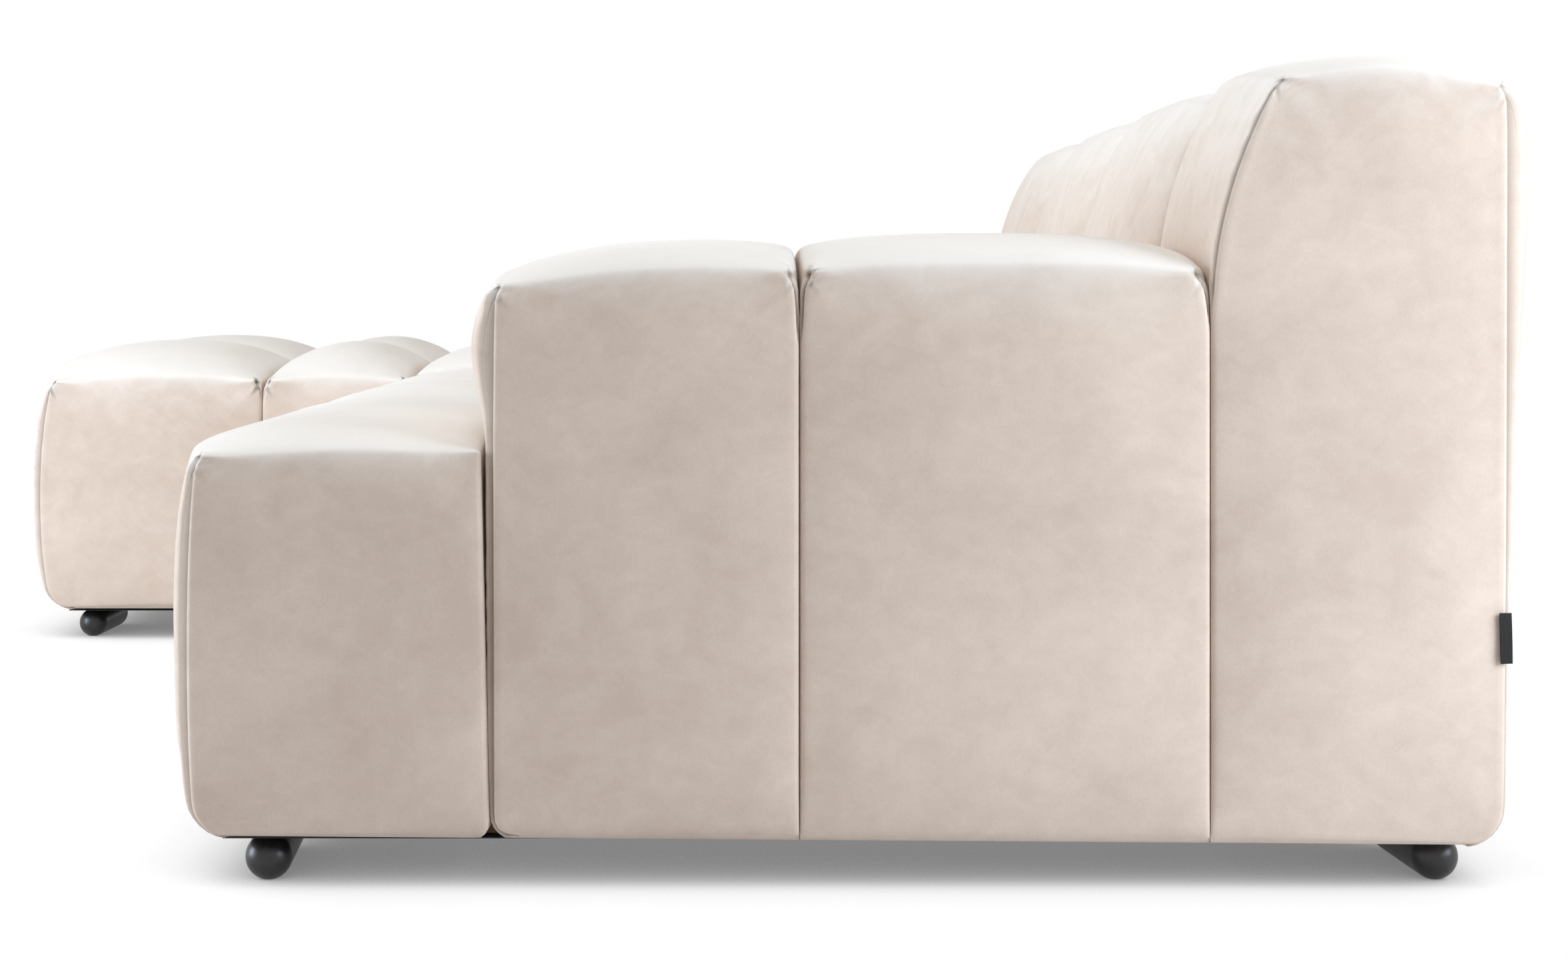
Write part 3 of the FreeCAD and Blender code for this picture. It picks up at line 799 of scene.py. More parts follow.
@dataclass
class PaddedBlock:
    """One velvet block over the construction's solid of the same name.

    It is cut as a coarse cover, swelled with the others, carried over to a fine cover and sewn.
    """

    node: str
    body: Body
    front: Wall
    rear: Wall
    left: Side
    right: Side
    crown: float
    channels: tuple[float, ...] = ()
    channel_crest: float = 0.5
    fill: float = 0.85
    swelling: float = 0.005
    round_edge: float = 0.004
    notch: float = 0.0022
    gather: float = 0.0018
    welt: float = 0.0009
    pleat: float = 0.0022
    corner_reach: float = 0.035
    shoulder: float = 0.15
    rounds: int = 60
    fold: float = 0.35
    base: np.ndarray = field(init=False, repr=False)
    coarse: UnitBox = field(init=False, repr=False)
    fine: UnitBox = field(init=False, repr=False)
    real: np.ndarray = field(init=False, repr=False)

    # Rolls of the cut cover, and where a side begins to lean below its top.
    CROWN_POWER = 6
    WALL_ROLL = 0.08
    HEM_ROLL = 0.07
    LEANS_BELOW = (0.08, 0.03)
    # What may move when the cover relaxes.
    LEAST = 1e-4
    LOOSE_FROM_SEAM = 0.024
    LOOSE_FROM_HEM = (0.10, 0.08)
    LOOSE_WHERE_HELD = 0.25
    HELD_REACH = 0.05
    CHANNEL_REACH = 0.020
    RELAX_STEP = 0.7
    # Upright seams: their edge where closed, stitches, welt and gathers.
    SEAM_OPENS_OVER = 0.02
    CLOSED_ROUND = 0.45
    STITCH_WIDTH = 0.0022
    STITCH_PULL = 0.7
    WELT_PLACE = 0.0065
    WELT_WIDTH = 0.0028
    GATHER_FROM = 0.006
    GATHER_REACH = 0.020
    GATHER_START = (1.7, 31.0)
    GATHER_WAVES = (165.0, 41.0, 17.0)
    GATHER_STIRRED = 2.2
    GATHER_PATCH = (0.55, 0.45)
    GATHER_LOW = 0.35
    GATHER_TOP = (0.25, 0.2)
    # Tucked top corners.
    TUCK_REACH = 0.009
    TUCK_DEPTH = 0.0045
    TUCK_DROP = 0.6
    PLEATS = 7.0
    PLEAT_TURN = 0.6
    PLEAT_REACH = 0.030
    PLEAT_FROM = 0.012
    CORNER_SHADE = 0.004

    def __post_init__(self) -> None:
        """Reads the block's ends from the construction and divides it into rows."""
        low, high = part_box(self.node)
        self.ends = (low.x, high.x)
        self.sides = ((self.left, self.right), (self.front, self.rear))
        self.top = max(self.front.top, self.rear.top)
        depth = self.rear.y - self.front.y
        height = self.top - min(self.front.foot, self.rear.foot)
        rows = (0.0, *[y - self.front.y for y in self.channels], depth)
        self.rows = (Rows((0.0, high.x - low.x)), Rows(rows), Rows((0.0, height)))
        self.spans = np.array([row.edges[-1] for row in self.rows])

    def _real(self, places: np.ndarray) -> np.ndarray:
        """Real distances for places counted in coarse steps."""
        return np.stack([rows.real(places[:, a]) for a, rows in enumerate(self.rows)], axis=1)

    def _away(self, real: np.ndarray, axis: int, half: int) -> np.ndarray:
        """Distance from the low side (0) or the high side (1) of an axis."""
        return self.spans[axis] - real[:, axis] if half else real[:, axis]

    def _nearer(self, real: np.ndarray, axis: int, low: float, high: float) -> np.ndarray:
        """The low or the high side's value, whichever side of an axis is nearer."""
        return np.where(real[:, axis] < self.spans[axis] / 2, low, high)

    def _base(self, real: np.ndarray) -> np.ndarray:
        """Places of the cut cover before the pressure swells it.

        Args:
            real: real distances along X and Y and up the wall, one row for each vertex.

        Returns:
            Places in the sofa's frame.
        """
        s, t, w = (real / self.spans).T
        from_ends, from_walls, _ = np.minimum(real, self.spans - real).T
        cornered = np.clip(1.0 - from_walls / self.corner_reach, 0.0, 1.0) ** 2
        reach = min(self.shoulder, self.spans[0] / 2)
        soft = self._nearer(real, 0, self.left.free, self.right.free)
        across = np.where(soft, swell(from_ends, reach), arch(from_ends, reach))
        front_y, front_z = self.front.line(w, from_ends, self.corner_reach, 1.0)
        rear_y, rear_z = self.rear.line(w, from_ends, self.corner_reach, -1.0)
        front_y = front_y - self.front.fullness(front_z, from_ends)
        rear_y = rear_y + self.rear.fullness(rear_z, from_ends)
        y = front_y + (rear_y - front_y) * t
        z = front_z + (rear_z - front_z) * t
        along = arch(from_walls, self.WALL_ROLL, 2.0)
        upward = swell(z - self.front.foot, self.HEM_ROLL)
        left, right = self.left, self.right
        low = self.ends[0] + self._drawn(left, z, cornered) - left.full * along * upward
        high = self.ends[1] - self._drawn(right, z, cornered) + right.full * along * upward
        x = low + (high - low) * s
        z = z + self.crown * self._dome(real, across) * w**self.CROWN_POWER
        return self._turned_under(np.stack([x, y, z], axis=1), real)

    def _dome(self, real: np.ndarray, across: np.ndarray) -> np.ndarray:
        """Share of the crown over the top: 0 in the tucked corners and 1 in the middle of a row.

        Args:
            real: real distances along the block.
            across: rise from the ends.

        Returns:
            The share at each vertex.
        """
        edges = np.array(self.rows[1].edges)
        row = np.clip(np.searchsorted(edges, real[:, 1], side="right") - 1, 0, len(edges) - 2)
        inner = len(self.channels)
        crests = np.array([self.front.crest, *[self.channel_crest] * inner, self.rear.crest])
        soft = np.array([self.front.free, *[False] * inner, self.rear.free])
        front_half = real[:, 1] < (edges[row] + edges[row + 1]) / 2
        edge = np.where(front_half, row, row + 1)
        reach = np.minimum(self.shoulder, (edges[row + 1] - edges[row]) / 2)
        away = np.abs(real[:, 1] - edges[edge])
        between = np.where(soft[edge], swell(away, reach), arch(away, reach))
        side = self._nearer(real, 0, self.left.crest, self.right.crest)
        kept = crests[edge] * across * (1 - between)
        return across * between + kept + side * between * (1 - across)

    def _drawn(self, side: Side, z: np.ndarray, corner: np.ndarray) -> np.ndarray:
        """How far a side leans in below its top.

        Args:
            side: the left or right side.
            z: heights.
            corner: 1 at the upright edges and 0 between them.

        Returns:
            The distance inward.
        """
        lowest, highest = (self.top - below for below in self.LEANS_BELOW)
        bend = min(max(side.touch, lowest), highest)
        rise = np.clip((z - bend) / (self.top - bend), 0.0, 1.0) ** 2
        return rise * (side.draw * corner + side.slope * (1.0 - corner))

    @staticmethod
    def _turn(away: np.ndarray, radius: np.ndarray) -> tuple[np.ndarray, np.ndarray]:
        """Rounds an edge.

        Args:
            away: distance from the edge along one of its two faces.
            radius: radius of the round there.

        Returns:
            How far a point sinks into its face and how far it slides from the edge.
        """
        safe = np.maximum(radius, TINY)
        angle = np.clip(1.0 - away / safe, 0.0, 1.0) * math.pi / 4
        near = away < safe
        sink = np.where(near, safe * (1.0 - np.cos(angle)), 0.0)
        slide = np.where(near, safe * (1.0 - np.sin(angle)) - away, 0.0)
        return sink, slide

    def _turned_under(self, flat: np.ndarray, real: np.ndarray) -> np.ndarray:
        """Turns the hem of the ends under.

        Args:
            flat: places with sharp edges.
            real: real distances along the block.

        Returns:
            New places.
        """
        out = flat.copy()
        bottom = real[:, 2] < TINY
        for half, side in enumerate((self.left, self.right)):
            away = self._away(real, 0, half)
            on_side = away < TINY
            inward = 1.0 - 2.0 * half
            hem = np.full(len(out), side.foot_round)
            sink, slide = self._turn(np.where(bottom, away, real[:, 2]), hem)
            out[:, 2] += np.where(bottom, sink, np.where(on_side, slide, 0.0))
            out[:, 0] += inward * np.where(bottom, slide, np.where(on_side, sink, 0.0))
        return out

    def cut(self) -> None:
        """Models the coarse cover that the simulation swells, pinned where it is sewn or held."""
        counts = tuple(sum(rows.coarse()) for rows in self.rows)
        self.coarse = UnitBox(self.node + "_cover", counts)
        index, low, high = self.coarse.index, self.coarse.low, self.coarse.high
        self.base = self._base(self._real(index.astype(float)))
        move_points(self.coarse.piece, self.base)
        edge = low | high
        held = low[:, 2] | (edge[:, 0] & edge[:, 1])
        for axis, pair in enumerate(self.sides):
            for on_side, side in zip((low[:, axis], high[:, axis]), pair):
                held |= on_side & (self.base[:, 2] < side.held)
        for steps in np.cumsum(self.rows[1].coarse())[:-1]:
            held |= high[:, 2] & (index[:, 1] == steps)
        group = self.coarse.piece.vertex_groups.new(name="sewn")
        group.add(np.nonzero(held)[0].tolist(), 1.0, "REPLACE")
        self._cloth()

    def _cloth(self) -> None:
        """Adds the cloth that the pressure swells."""
        cloth = self.coarse.piece.modifiers.new("swell", "CLOTH")
        settings = cloth.settings
        settings.quality = 5
        settings.mass = 0.25
        settings.air_damping = 6.0
        settings.tension_stiffness = 9.0
        settings.compression_stiffness = 9.0
        settings.shear_stiffness = 5.0
        settings.bending_stiffness = 0.8
        settings.use_pressure = True
        settings.uniform_pressure_force = 4.0
        settings.vertex_group_mass = "sewn"
        settings.effector_weights.gravity = 0.0
        cloth.collision_settings.use_collision = False
        cloth.point_cache.frame_start = 1
        cloth.point_cache.frame_end = Upholstery.FRAMES

    def sew(self, velvet: bpy.types.Material) -> bpy.types.Object:
        """Carries the swelled cover over to the fine cover, sews it and dresses it.

        Args:
            velvet: the cover's material.

        Returns:
            The finished piece.
        """
        lines = [rows.fine() for rows in self.rows]
        self.fine = UnitBox(self.node + "_velvet", tuple(len(line) - 1 for line in lines))
        index = self.fine.index
        self.real = self._real(np.stack([lines[a][index[:, a]] for a in range(3)], axis=1))
        base = self._base(self.real)
        shaped = self._relaxed(base + self._fitted(base, self._swelled(lines)))
        shaped, seam = self._stitched(shaped)
        piece = self.fine.piece
        move_points(piece, shaped)
        # The seam attribute is painted shade along the seam grooves and in the tucked corners.
        shade_marks = piece.data.attributes.new("seam", "FLOAT", "POINT")
        shade_marks.data.foreach_set("value", seam.astype(np.float32))
        folds = piece.data.attributes.new("fold", "FLOAT_VECTOR", "POINT")
        folds.data.foreach_set("vector", self._folds().astype(np.float32).ravel())
        piece.data.materials.clear()
        piece.data.materials.append(velvet)
        activate(piece)
        bpy.ops.object.shade_smooth()
        bpy.data.objects.remove(self.coarse.piece)
        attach(piece, self.body.value)
        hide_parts(self.node)
        return piece

    def _swelled(self, lines: list[np.ndarray]) -> np.ndarray:
        """Reads the coarse cover's swelling smoothly at the fine cover's vertices.

        Args:
            lines: fine lines along each axis, counted in coarse steps.

        Returns:
            How far the pressure moved each vertex.
        """
        swelled = points_of(self.coarse.piece) - self.base
        weights = [cubic_weights(line, count) for line, count in zip(lines, self.coarse.counts)]
        moved = np.zeros((len(self.real), 3))
        for axis in range(3):
            across = [weights[a] for a in others(axis)]
            for side in (0, 1):
                coarse = swelled[self.coarse.face(axis, side)]
                moved[self.fine.face(axis, side)] = np.einsum("iu,jv,uvc->ijc", *across, coarse)
        return moved

    def _fitted(self, base: np.ndarray, moved: np.ndarray) -> np.ndarray:
        """Brings the swelling to what the cover allows, and to none where a side is held.

        Args:
            base: places before the swelling.
            moved: how far the pressure moved each vertex.

        Returns:
            The swelling that the block keeps.
        """
        most = max(np.linalg.norm(moved, axis=1).max(), self.LEAST)
        out = moved * (self.swelling / most)
        for axis, pair in enumerate(self.sides):
            for half, side in enumerate(pair):
                chosen = (self.fine.low, self.fine.high)[half][:, axis]
                sign = 2.0 * half - 1.0
                outward = sign * out[chosen, axis]
                free = float(side.full > 0.0)
                if side.touch:
                    free = free * ease((base[chosen, 2] - side.touch) / Wall.OPENS_OVER)
                out[chosen, axis] = sign * np.where(outward > 0.0, outward * free, outward)
        return out

    def _folds(self) -> np.ndarray:
        """Flat places around the nearest tucked corner, for the creases that fan out from it.

        Returns:
            Distance along the end, height over the corner (rolled flat) and creases' strength.
        """
        from_edge = np.minimum(self.real, self.spans - self.real)
        on_end = self.fine.low[:, 0] | self.fine.high[:, 0]
        up = np.where(on_end, self.real[:, 2] - self.spans[2], from_edge[:, 0])
        stitched = self._nearer(self.real, 1, self.front.stitched, self.rear.stitched)
        strength = np.where((on_end | self.fine.high[:, 2]) & stitched, self.fold, 0.0)
        return np.stack([from_edge[:, 1], up, strength], axis=1)

    def _gathers(self, z: np.ndarray, number: int) -> np.ndarray:
        """Small uneven gathers along an upright seam, most of them near its top.

        Args:
            z: heights.
            number: which of the four seams.

        Returns:
            How far the cloth stands out.
        """
        fine, stirring, patches = self.GATHER_WAVES
        start = self.GATHER_START[0] * number + self.GATHER_START[1] * self.front.y
        stirred = self.GATHER_STIRRED * np.sin(stirring * z + start)
        wave = np.sin(fine * z + start + stirred)
        patch = self.GATHER_PATCH[0] + self.GATHER_PATCH[1] * np.sin(patches * z + 2.0 * start)
        near_top = ease((z - self.top + self.GATHER_TOP[0]) / self.GATHER_TOP[1])
        return self.gather * wave * patch * (self.GATHER_LOW + (1 - self.GATHER_LOW) * near_top)

    def _loose(self) -> np.ndarray:
        """Share of the relaxing that each vertex takes.

        Returns:
            0 along seams, channels and the hem, little beside held sides and 1 in the open.
        """
        low, edge = self.fine.low, self.fine.low | self.fine.high
        from_edge = np.minimum(self.real, self.spans - self.real)
        upright = np.hypot(from_edge[:, 0], from_edge[:, 1])
        start, over = self.LOOSE_FROM_HEM
        loose = ease(upright / self.LOOSE_FROM_SEAM) * ease((self.real[:, 2] - start) / over)
        loose[low[:, 2] | (edge[:, 0] & edge[:, 1])] = 0.0
        for axis, pair in enumerate(self.sides):
            for half, side in enumerate(pair):
                if not side.free:
                    away = ease(self._away(self.real, axis, half) / self.HELD_REACH)
                    loose *= self.LOOSE_WHERE_HELD + (1 - self.LOOSE_WHERE_HELD) * away
        for line in self.rows[1].edges[1:-1]:
            away = ease(np.abs(self.real[:, 1] - line) / self.CHANNEL_REACH)
            loose = np.where(self.fine.high[:, 2], loose * away, loose)
        return loose

    def _relaxed(self, shaped: np.ndarray) -> np.ndarray:
        """Lets the cover round its own edges like stretched cloth, while the seams stay.

        Args:
            shaped: places of the fine cover.

        Returns:
            New places.
        """
        loose = self._loose()
        count = len(shaped)
        edges = self.fine.piece.data.edges
        pairs = np.zeros(len(edges) * 2, int)
        edges.foreach_get("vertices", pairs)
        first, second = pairs.reshape(-1, 2).T
        lengths = np.linalg.norm(shaped[first] - shaped[second], axis=1)
        weight = 1.0 / np.maximum(lengths, self.LEAST)
        total = np.bincount(first, weight, count) + np.bincount(second, weight, count)
        out = shaped.copy()
        for _ in range(self.rounds):
            for axis in range(3):
                pull = weight * (out[second, axis] - out[first, axis])
                move = np.bincount(first, pull, count) - np.bincount(second, pull, count)
                out[:, axis] += self.RELAX_STEP * loose * move / total
        return out

    def _stitched(self, shaped: np.ndarray) -> tuple[np.ndarray, np.ndarray]:
        """Puffs the faces beside the upright seams, pulls the seams in and tucks the top corners.

        Args:
            shaped: places of the fine cover.

        Returns:
            New places, and painted shade: how near each vertex is to a stitched seam or a tucked
                corner.
        """
        ends = (self.fine.low, self.fine.high)
        on_top = self.fine.high[:, 2]
        z = shaped[:, 2]
        seam = np.zeros(len(shaped))
        out = shaped.copy()
        for x_half, side in enumerate((self.left, self.right)):
            for y_half, wall in enumerate((self.front, self.rear)):
                on_x, on_y = ends[x_half][:, 0], ends[y_half][:, 1]
                in_x, in_y = 1.0 - 2.0 * x_half, 1.0 - 2.0 * y_half
                from_x, from_y = self._away(self.real, 0, x_half), self._away(self.real, 1, y_half)
                away = np.where(on_x, from_y, from_x)
                upright = on_x | on_y
                opened = self._opened(max(side.held, wall.held), z) * wall.stitched
                rounded = self.CLOSED_ROUND + (1 - self.CLOSED_ROUND) * opened
                sink, slide = self._turn(away, self.round_edge * rounded)
                out[:, 0] += np.where(upright, in_x * np.where(on_x, sink, slide), 0.0)
                out[:, 1] += np.where(upright, in_y * np.where(on_x, slide, sink), 0.0)
                line = np.where(upright, opened, 0.0)
                pull = line * np.clip(1.0 - away / self.STITCH_WIDTH, 0.0, 1.0)
                puff = line * self._puffed(away, self._gathers(z, x_half * 2 + y_half))
                drawn = pull * self.notch * self.STITCH_PULL
                out[:, 0] += in_x * (drawn - np.where(on_x, puff, 0.0))
                out[:, 1] += in_y * (drawn - np.where(on_y, puff, 0.0))
                # The stitches' pull is also painted shade along the seam groove.
                seam = np.maximum(seam, pull)
                if wall.stitched:
                    corner = shaped[np.nonzero(on_x & on_y & on_top)[0][0]]
                    pulled, pleat, near = self._tucked(shaped - corner)
                    out += pulled[:, None] * np.array([in_x, in_y, -self.TUCK_DROP])
                    out[:, 0] -= np.where(on_x & ~on_y, in_x * pleat, 0.0)
                    out[:, 2] += np.where(on_top & ~on_x & ~on_y, pleat, 0.0)
                    # Painted shade in the tucked corner.
                    seam = np.maximum(seam, near)
        return out, seam

    def _opened(self, held: float, z: np.ndarray) -> np.ndarray:
        """1 where an upright seam stands open and 0 where a neighbour holds it."""
        return np.clip((z - held) / self.SEAM_OPENS_OVER, 0.0, 1.0) if held else np.ones(len(z))

    def _puffed(self, away: np.ndarray, gathers: np.ndarray) -> np.ndarray:
        """How far the cloth beside a seam stands out.

        Args:
            away: distance from the seam.
            gathers: the seam's gathers.

        Returns:
            The welt and the gathers together.
        """
        welt = np.exp(-(((away - self.WELT_PLACE) / self.WELT_WIDTH) ** 2)) * self.welt
        gathered = gathers * ease(away / self.GATHER_FROM)
        return welt + gathered * np.exp(-away / self.GATHER_REACH)

    def _tucked(self, off: np.ndarray) -> tuple[np.ndarray, np.ndarray, np.ndarray]:
        """Tucks one top corner in.

        Args:
            off: places from the corner.

        Returns:
            How far the corner is pulled in, how far its pleats stand out, and the corner's shade.
        """
        reach = np.linalg.norm(off, axis=1)
        pulled = np.exp(-((reach / self.TUCK_REACH) ** 2)) * self.TUCK_DEPTH
        fan = np.arctan2(off[:, 2], np.abs(off[:, 1]) + TINY)
        pleat = np.cos(fan * self.PLEATS + self.PLEAT_TURN) * np.exp(-reach / self.PLEAT_REACH)
        pleat = pleat * ease(reach / self.PLEAT_FROM) * self.pleat
        return pulled, pleat, np.exp(-((reach / self.CORNER_SHADE) ** 2))


class Upholstery:
    """All padded blocks: cut, swelled together and sewn."""

    FRAMES = 20

    def __init__(self, velvet: bpy.types.Material) -> None:
        """Plans the blocks of both modules."""
        self.velvet = velvet
        self.blocks = [*SofaBlocks().plan(), *ChaiseBlocks().plan()]

    def build(self) -> list[bpy.types.Object]:
        """Builds every block.

        Returns:
            The finished pieces.
        """
        for block in self.blocks:
            block.cut()
        scene = bpy.context.scene
        scene.frame_start = 1
        scene.frame_end = self.FRAMES
        for number in range(1, self.FRAMES + 1):
            scene.frame_set(number)
        for block in self.blocks:
            activate(block.coarse.piece)
            bpy.ops.object.modifier_apply(modifier="swell")
        scene.frame_set(1)
        return [block.sew(self.velvet) for block in self.blocks]


@dataclass(frozen=True)
class PlanLines:
    """Lines of the plan that both modules share, and the gap beside each of them."""

    y_front: float = -0.312
    y_middle: float = 0.240
    y_back: float = 0.613
    y_rear: float = 0.884
    gap: float = 0.0003

    @staticmethod
    def open_end(crest: float, slope: float, foot_round: float = 0.014) -> Side:
        """A free side panel, full and turned under at its hem."""
        shape = {"crest": crest, "slope": slope, "foot_round": foot_round}
        return Side(full=0.009, draw=0.003, free=True, **shape)


@dataclass(frozen=True)
class SofaBlocks(PlanLines):
    """Seat, arm and back blocks: lines of the plan and heights of the tucked corners."""

    y_seat: float = -0.0495
    y_arm: float = -0.0395
    y_pad: float = -0.0485
    seat_top: float = 0.396
    seat_crown: float = 0.040
    front_crown: float = 0.026
    arm_front_top: float = 0.550
    arm_top: float = 0.561
    arm_crown: float = 0.036
    back_top: float = 0.739
    back_crown: float = 0.032
    rear_drop: float = 0.006
    channel_drop: float = 0.013
    channel_flatter: float = 0.001
    hem_front: float = 0.0465
    hem_rear: float = 0.0385

    def hem(self, y: float) -> float:
        """Height of the hem, which drops a little towards the rear."""
        share = (y - self.y_front) / (self.y_rear - self.y_front)
        return self.hem_front + (self.hem_rear - self.hem_front) * share

    def wall(self, y: float, top: float, **more: float) -> Wall:
        """A wall that stands on the hem line."""
        return Wall(y, top, foot=self.hem(y), **more)

    def plan(self) -> list[PaddedBlock]:
        """Lists the sofa's blocks."""
        return [*self._seat(), *self._arm(), *self._back()]

    def _seat(self) -> list[PaddedBlock]:
        """Plans the seat.

        Returns:
            The front row and the pads behind it.
        """
        joint = Side(touch=self.seat_top - 0.012, draw=0.004, crest=0.35)
        end = self.open_end(crest=0.35, slope=0.008)
        front = self.wall(
            self.y_front, self.seat_top, full=0.024, hem=0.032, bow=0.007, crest=0.40, reach=0.08,
            free=True)
        rear = self.wall(
            self.y_seat, self.seat_top, touch=0.385, tuck=-0.009, eased=0.018, stitched=False)
        held = {"touch": 0.37, "lean": 0.004, "stitched": False}
        pad_front = self.wall(self.y_pad + self.gap, self.seat_top, tuck=0.009, **held)
        pad_rear = self.wall(self.y_back - self.gap, self.seat_top, **held)
        blocks = []
        for column in ("right", "middle", "left"):
            right = end if column == "right" else joint
            blocks.append(PaddedBlock(
                f"seat_front_{column}", Body.SOFA, front, rear, joint, right, self.front_crown))
            blocks.append(PaddedBlock(
                f"seat_pad_{column}", Body.SOFA, pad_front, pad_rear, joint, joint, self.seat_crown,
                channels=(self.y_middle,)))
        return blocks

    def _arm(self) -> list[PaddedBlock]:
        """Plans the arm.

        Returns:
            Its two blocks.
        """
        inner = Side(full=0.006, touch=0.43, draw=0.004, slope=0.006)
        outer = self.open_end(crest=0.40, slope=0.010)
        front = self.wall(
            self.y_arm, self.arm_front_top, full=0.032, touch=0.42, pressed=0.0065, bow=0.002,
            eased=0.022, crest=0.38, reach=0.06, rounded=0.8, free=True)
        held = {"touch": 0.495, "crest": 0.68}
        middle_rear = self.wall(self.y_middle - self.gap, self.arm_top, lean=0.0040, **held)
        middle_front = self.wall(self.y_middle + self.gap, self.arm_top, lean=0.0036, **held)
        rear = self.wall(self.y_back - self.gap, self.arm_top, touch=0.51, lean=0.007)
        rows = {"arm_front_block": (front, middle_rear), "arm_rear_block": (middle_front, rear)}
        return [
            PaddedBlock(node, Body.SOFA, *walls, inner, outer, self.arm_crown)
            for node, walls in rows.items()
        ]

    def _back(self) -> list[PaddedBlock]:
        """Plans the back.

        Returns:
            Its upright channels.
        """
        joint = Side(touch=self.back_top - 0.035, draw=0.005)
        end = self.open_end(crest=0.60, slope=0.012)
        free = Side(full=0.006, touch=0.45, draw=0.004, slope=0.006)
        rear = self.wall(
            self.y_rear, self.back_top - self.rear_drop, full=0.036, hem=0.036, tuck=0.004,
            reach=0.05, rising=0.62, taper=0.045, free=True)
        corner = self.wall(
            self.y_back + self.gap, self.back_top, full=0.018, touch=0.524, rake=0.062, reach=0.10,
            free=True, slanted=True)
        channel = self.wall(
            self.y_back + self.gap, self.back_top - self.channel_drop, full=0.042, touch=0.45,
            rake=0.062, crest=0.80, reach=0.11, rounded=0.45, taper=0.10, free=True)
        blocks = [PaddedBlock(
            "back_corner_block", Body.SOFA, corner, rear, joint, end, self.back_crown,
            round_edge=0.003, notch=0.0014)]
        crown = self.back_crown - self.channel_flatter
        for column in ("right", "middle", "left"):
            left = free if column == "left" else joint
            blocks.append(PaddedBlock(
                f"back_{column}_block", Body.SOFA, channel, rear, left, joint, crown))
        return blocks


@dataclass(frozen=True)
class ChaiseBlocks(PlanLines):
    """Chaise blocks: two columns of a front block, a second block and a long pad."""

    y_chaise: float = -0.872
    y_second: float = -0.542
    y_channel: float = -0.042
    top: float = 0.402
    crown: float = 0.058
    hem: float = 0.046
    rounds: int = 110
    fold: float = 1.0

    def plan(self) -> list[PaddedBlock]:
        """Plans the chaise.

        Returns:
            Its blocks.
        """
        joint = Side(touch=self.top - 0.012, draw=0.004, crest=0.35)
        end = self.open_end(crest=0.25, slope=0.010, foot_round=0.020)
        bend = {"top": self.top, "touch": 0.37, "lean": 0.005, "foot": self.hem, "crest": 0.12}
        edge = {"top": self.top, "hem": 0.036, "foot": self.hem, "free": True}
        walls = {
            "front": (
                Wall(self.y_chaise, full=0.026, bow=0.018, crest=0.55, reach=0.08, **edge),
                Wall(self.y_second - self.gap, **bend),
            ),
            "second": (
                Wall(self.y_second + self.gap, **bend),
                Wall(self.y_front - self.gap, **bend),
            ),
            "pad": (
                Wall(self.y_front + self.gap, **bend),
                Wall(self.y_rear, full=0.014, **edge),
            ),
        }
        blocks = []
        for column in ("right", "left"):
            for row, (front, rear) in walls.items():
                outer = joint if row == "pad" and column == "right" else end
                left, right = (joint, outer) if column == "right" else (outer, joint)
                channels = (self.y_channel, self.y_middle, self.y_back) if row == "pad" else ()
                blocks.append(PaddedBlock(
                    f"chaise_{row}_{column}", Body.CHAISE, front, rear, left, right, self.crown,
                    channels=channels, rounds=self.rounds, fold=self.fold))
        return blocks


@dataclass(frozen=True)
class SideTab:
    """A plain black tape, folded and sewn into the rear seam of the arm end."""

    front: Pair = (1.3893, 0.8735)
    rear: Pair = (1.3872, 0.8850)
    heights: Pair = (0.206, 0.252)
    thickness: float = 0.0012
    edge: float = 0.0003
    curl: float = 0.0009
    skew: float = 0.001

    def build(self, tape: bpy.types.Material) -> bpy.types.Object:
        """Models the tape.

        Args:
            tape: its material.

        Returns:
            The finished piece.
        """
        deselect()
        bpy.ops.mesh.primitive_grid_add(x_subdivisions=8, y_subdivisions=16, size=1.0)
        piece = bpy.context.object
        piece.name = "side_tab_tape"
        u, v, _ = (points_of(piece) + 0.5).T
        x, y = (front + (rear - front) * u for front, rear in zip(self.front, self.rear))
        x = x + self.curl * np.sin(math.pi * v) * u
        y = y - self.skew * (v - 0.5)
        z = self.heights[0] + (self.heights[1] - self.heights[0]) * v
        move_points(piece, np.stack([x, y, z], axis=1))
        solid = piece.modifiers.new("thickness", "SOLIDIFY")
        solid.thickness = self.thickness
        solid.offset = 0.0
        bevel = piece.modifiers.new("edge", "BEVEL")
        bevel.width = self.edge
        bevel.segments = 2
        activate(piece)
        for name in ("thickness", "edge"):
            bpy.ops.object.modifier_apply(modifier=name)
        bpy.ops.object.shade_smooth_by_angle()
        piece.data.materials.append(tape)
        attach(piece, Body.SOFA.value)
        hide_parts("side_tab")
        return piece


# Hardware and frame


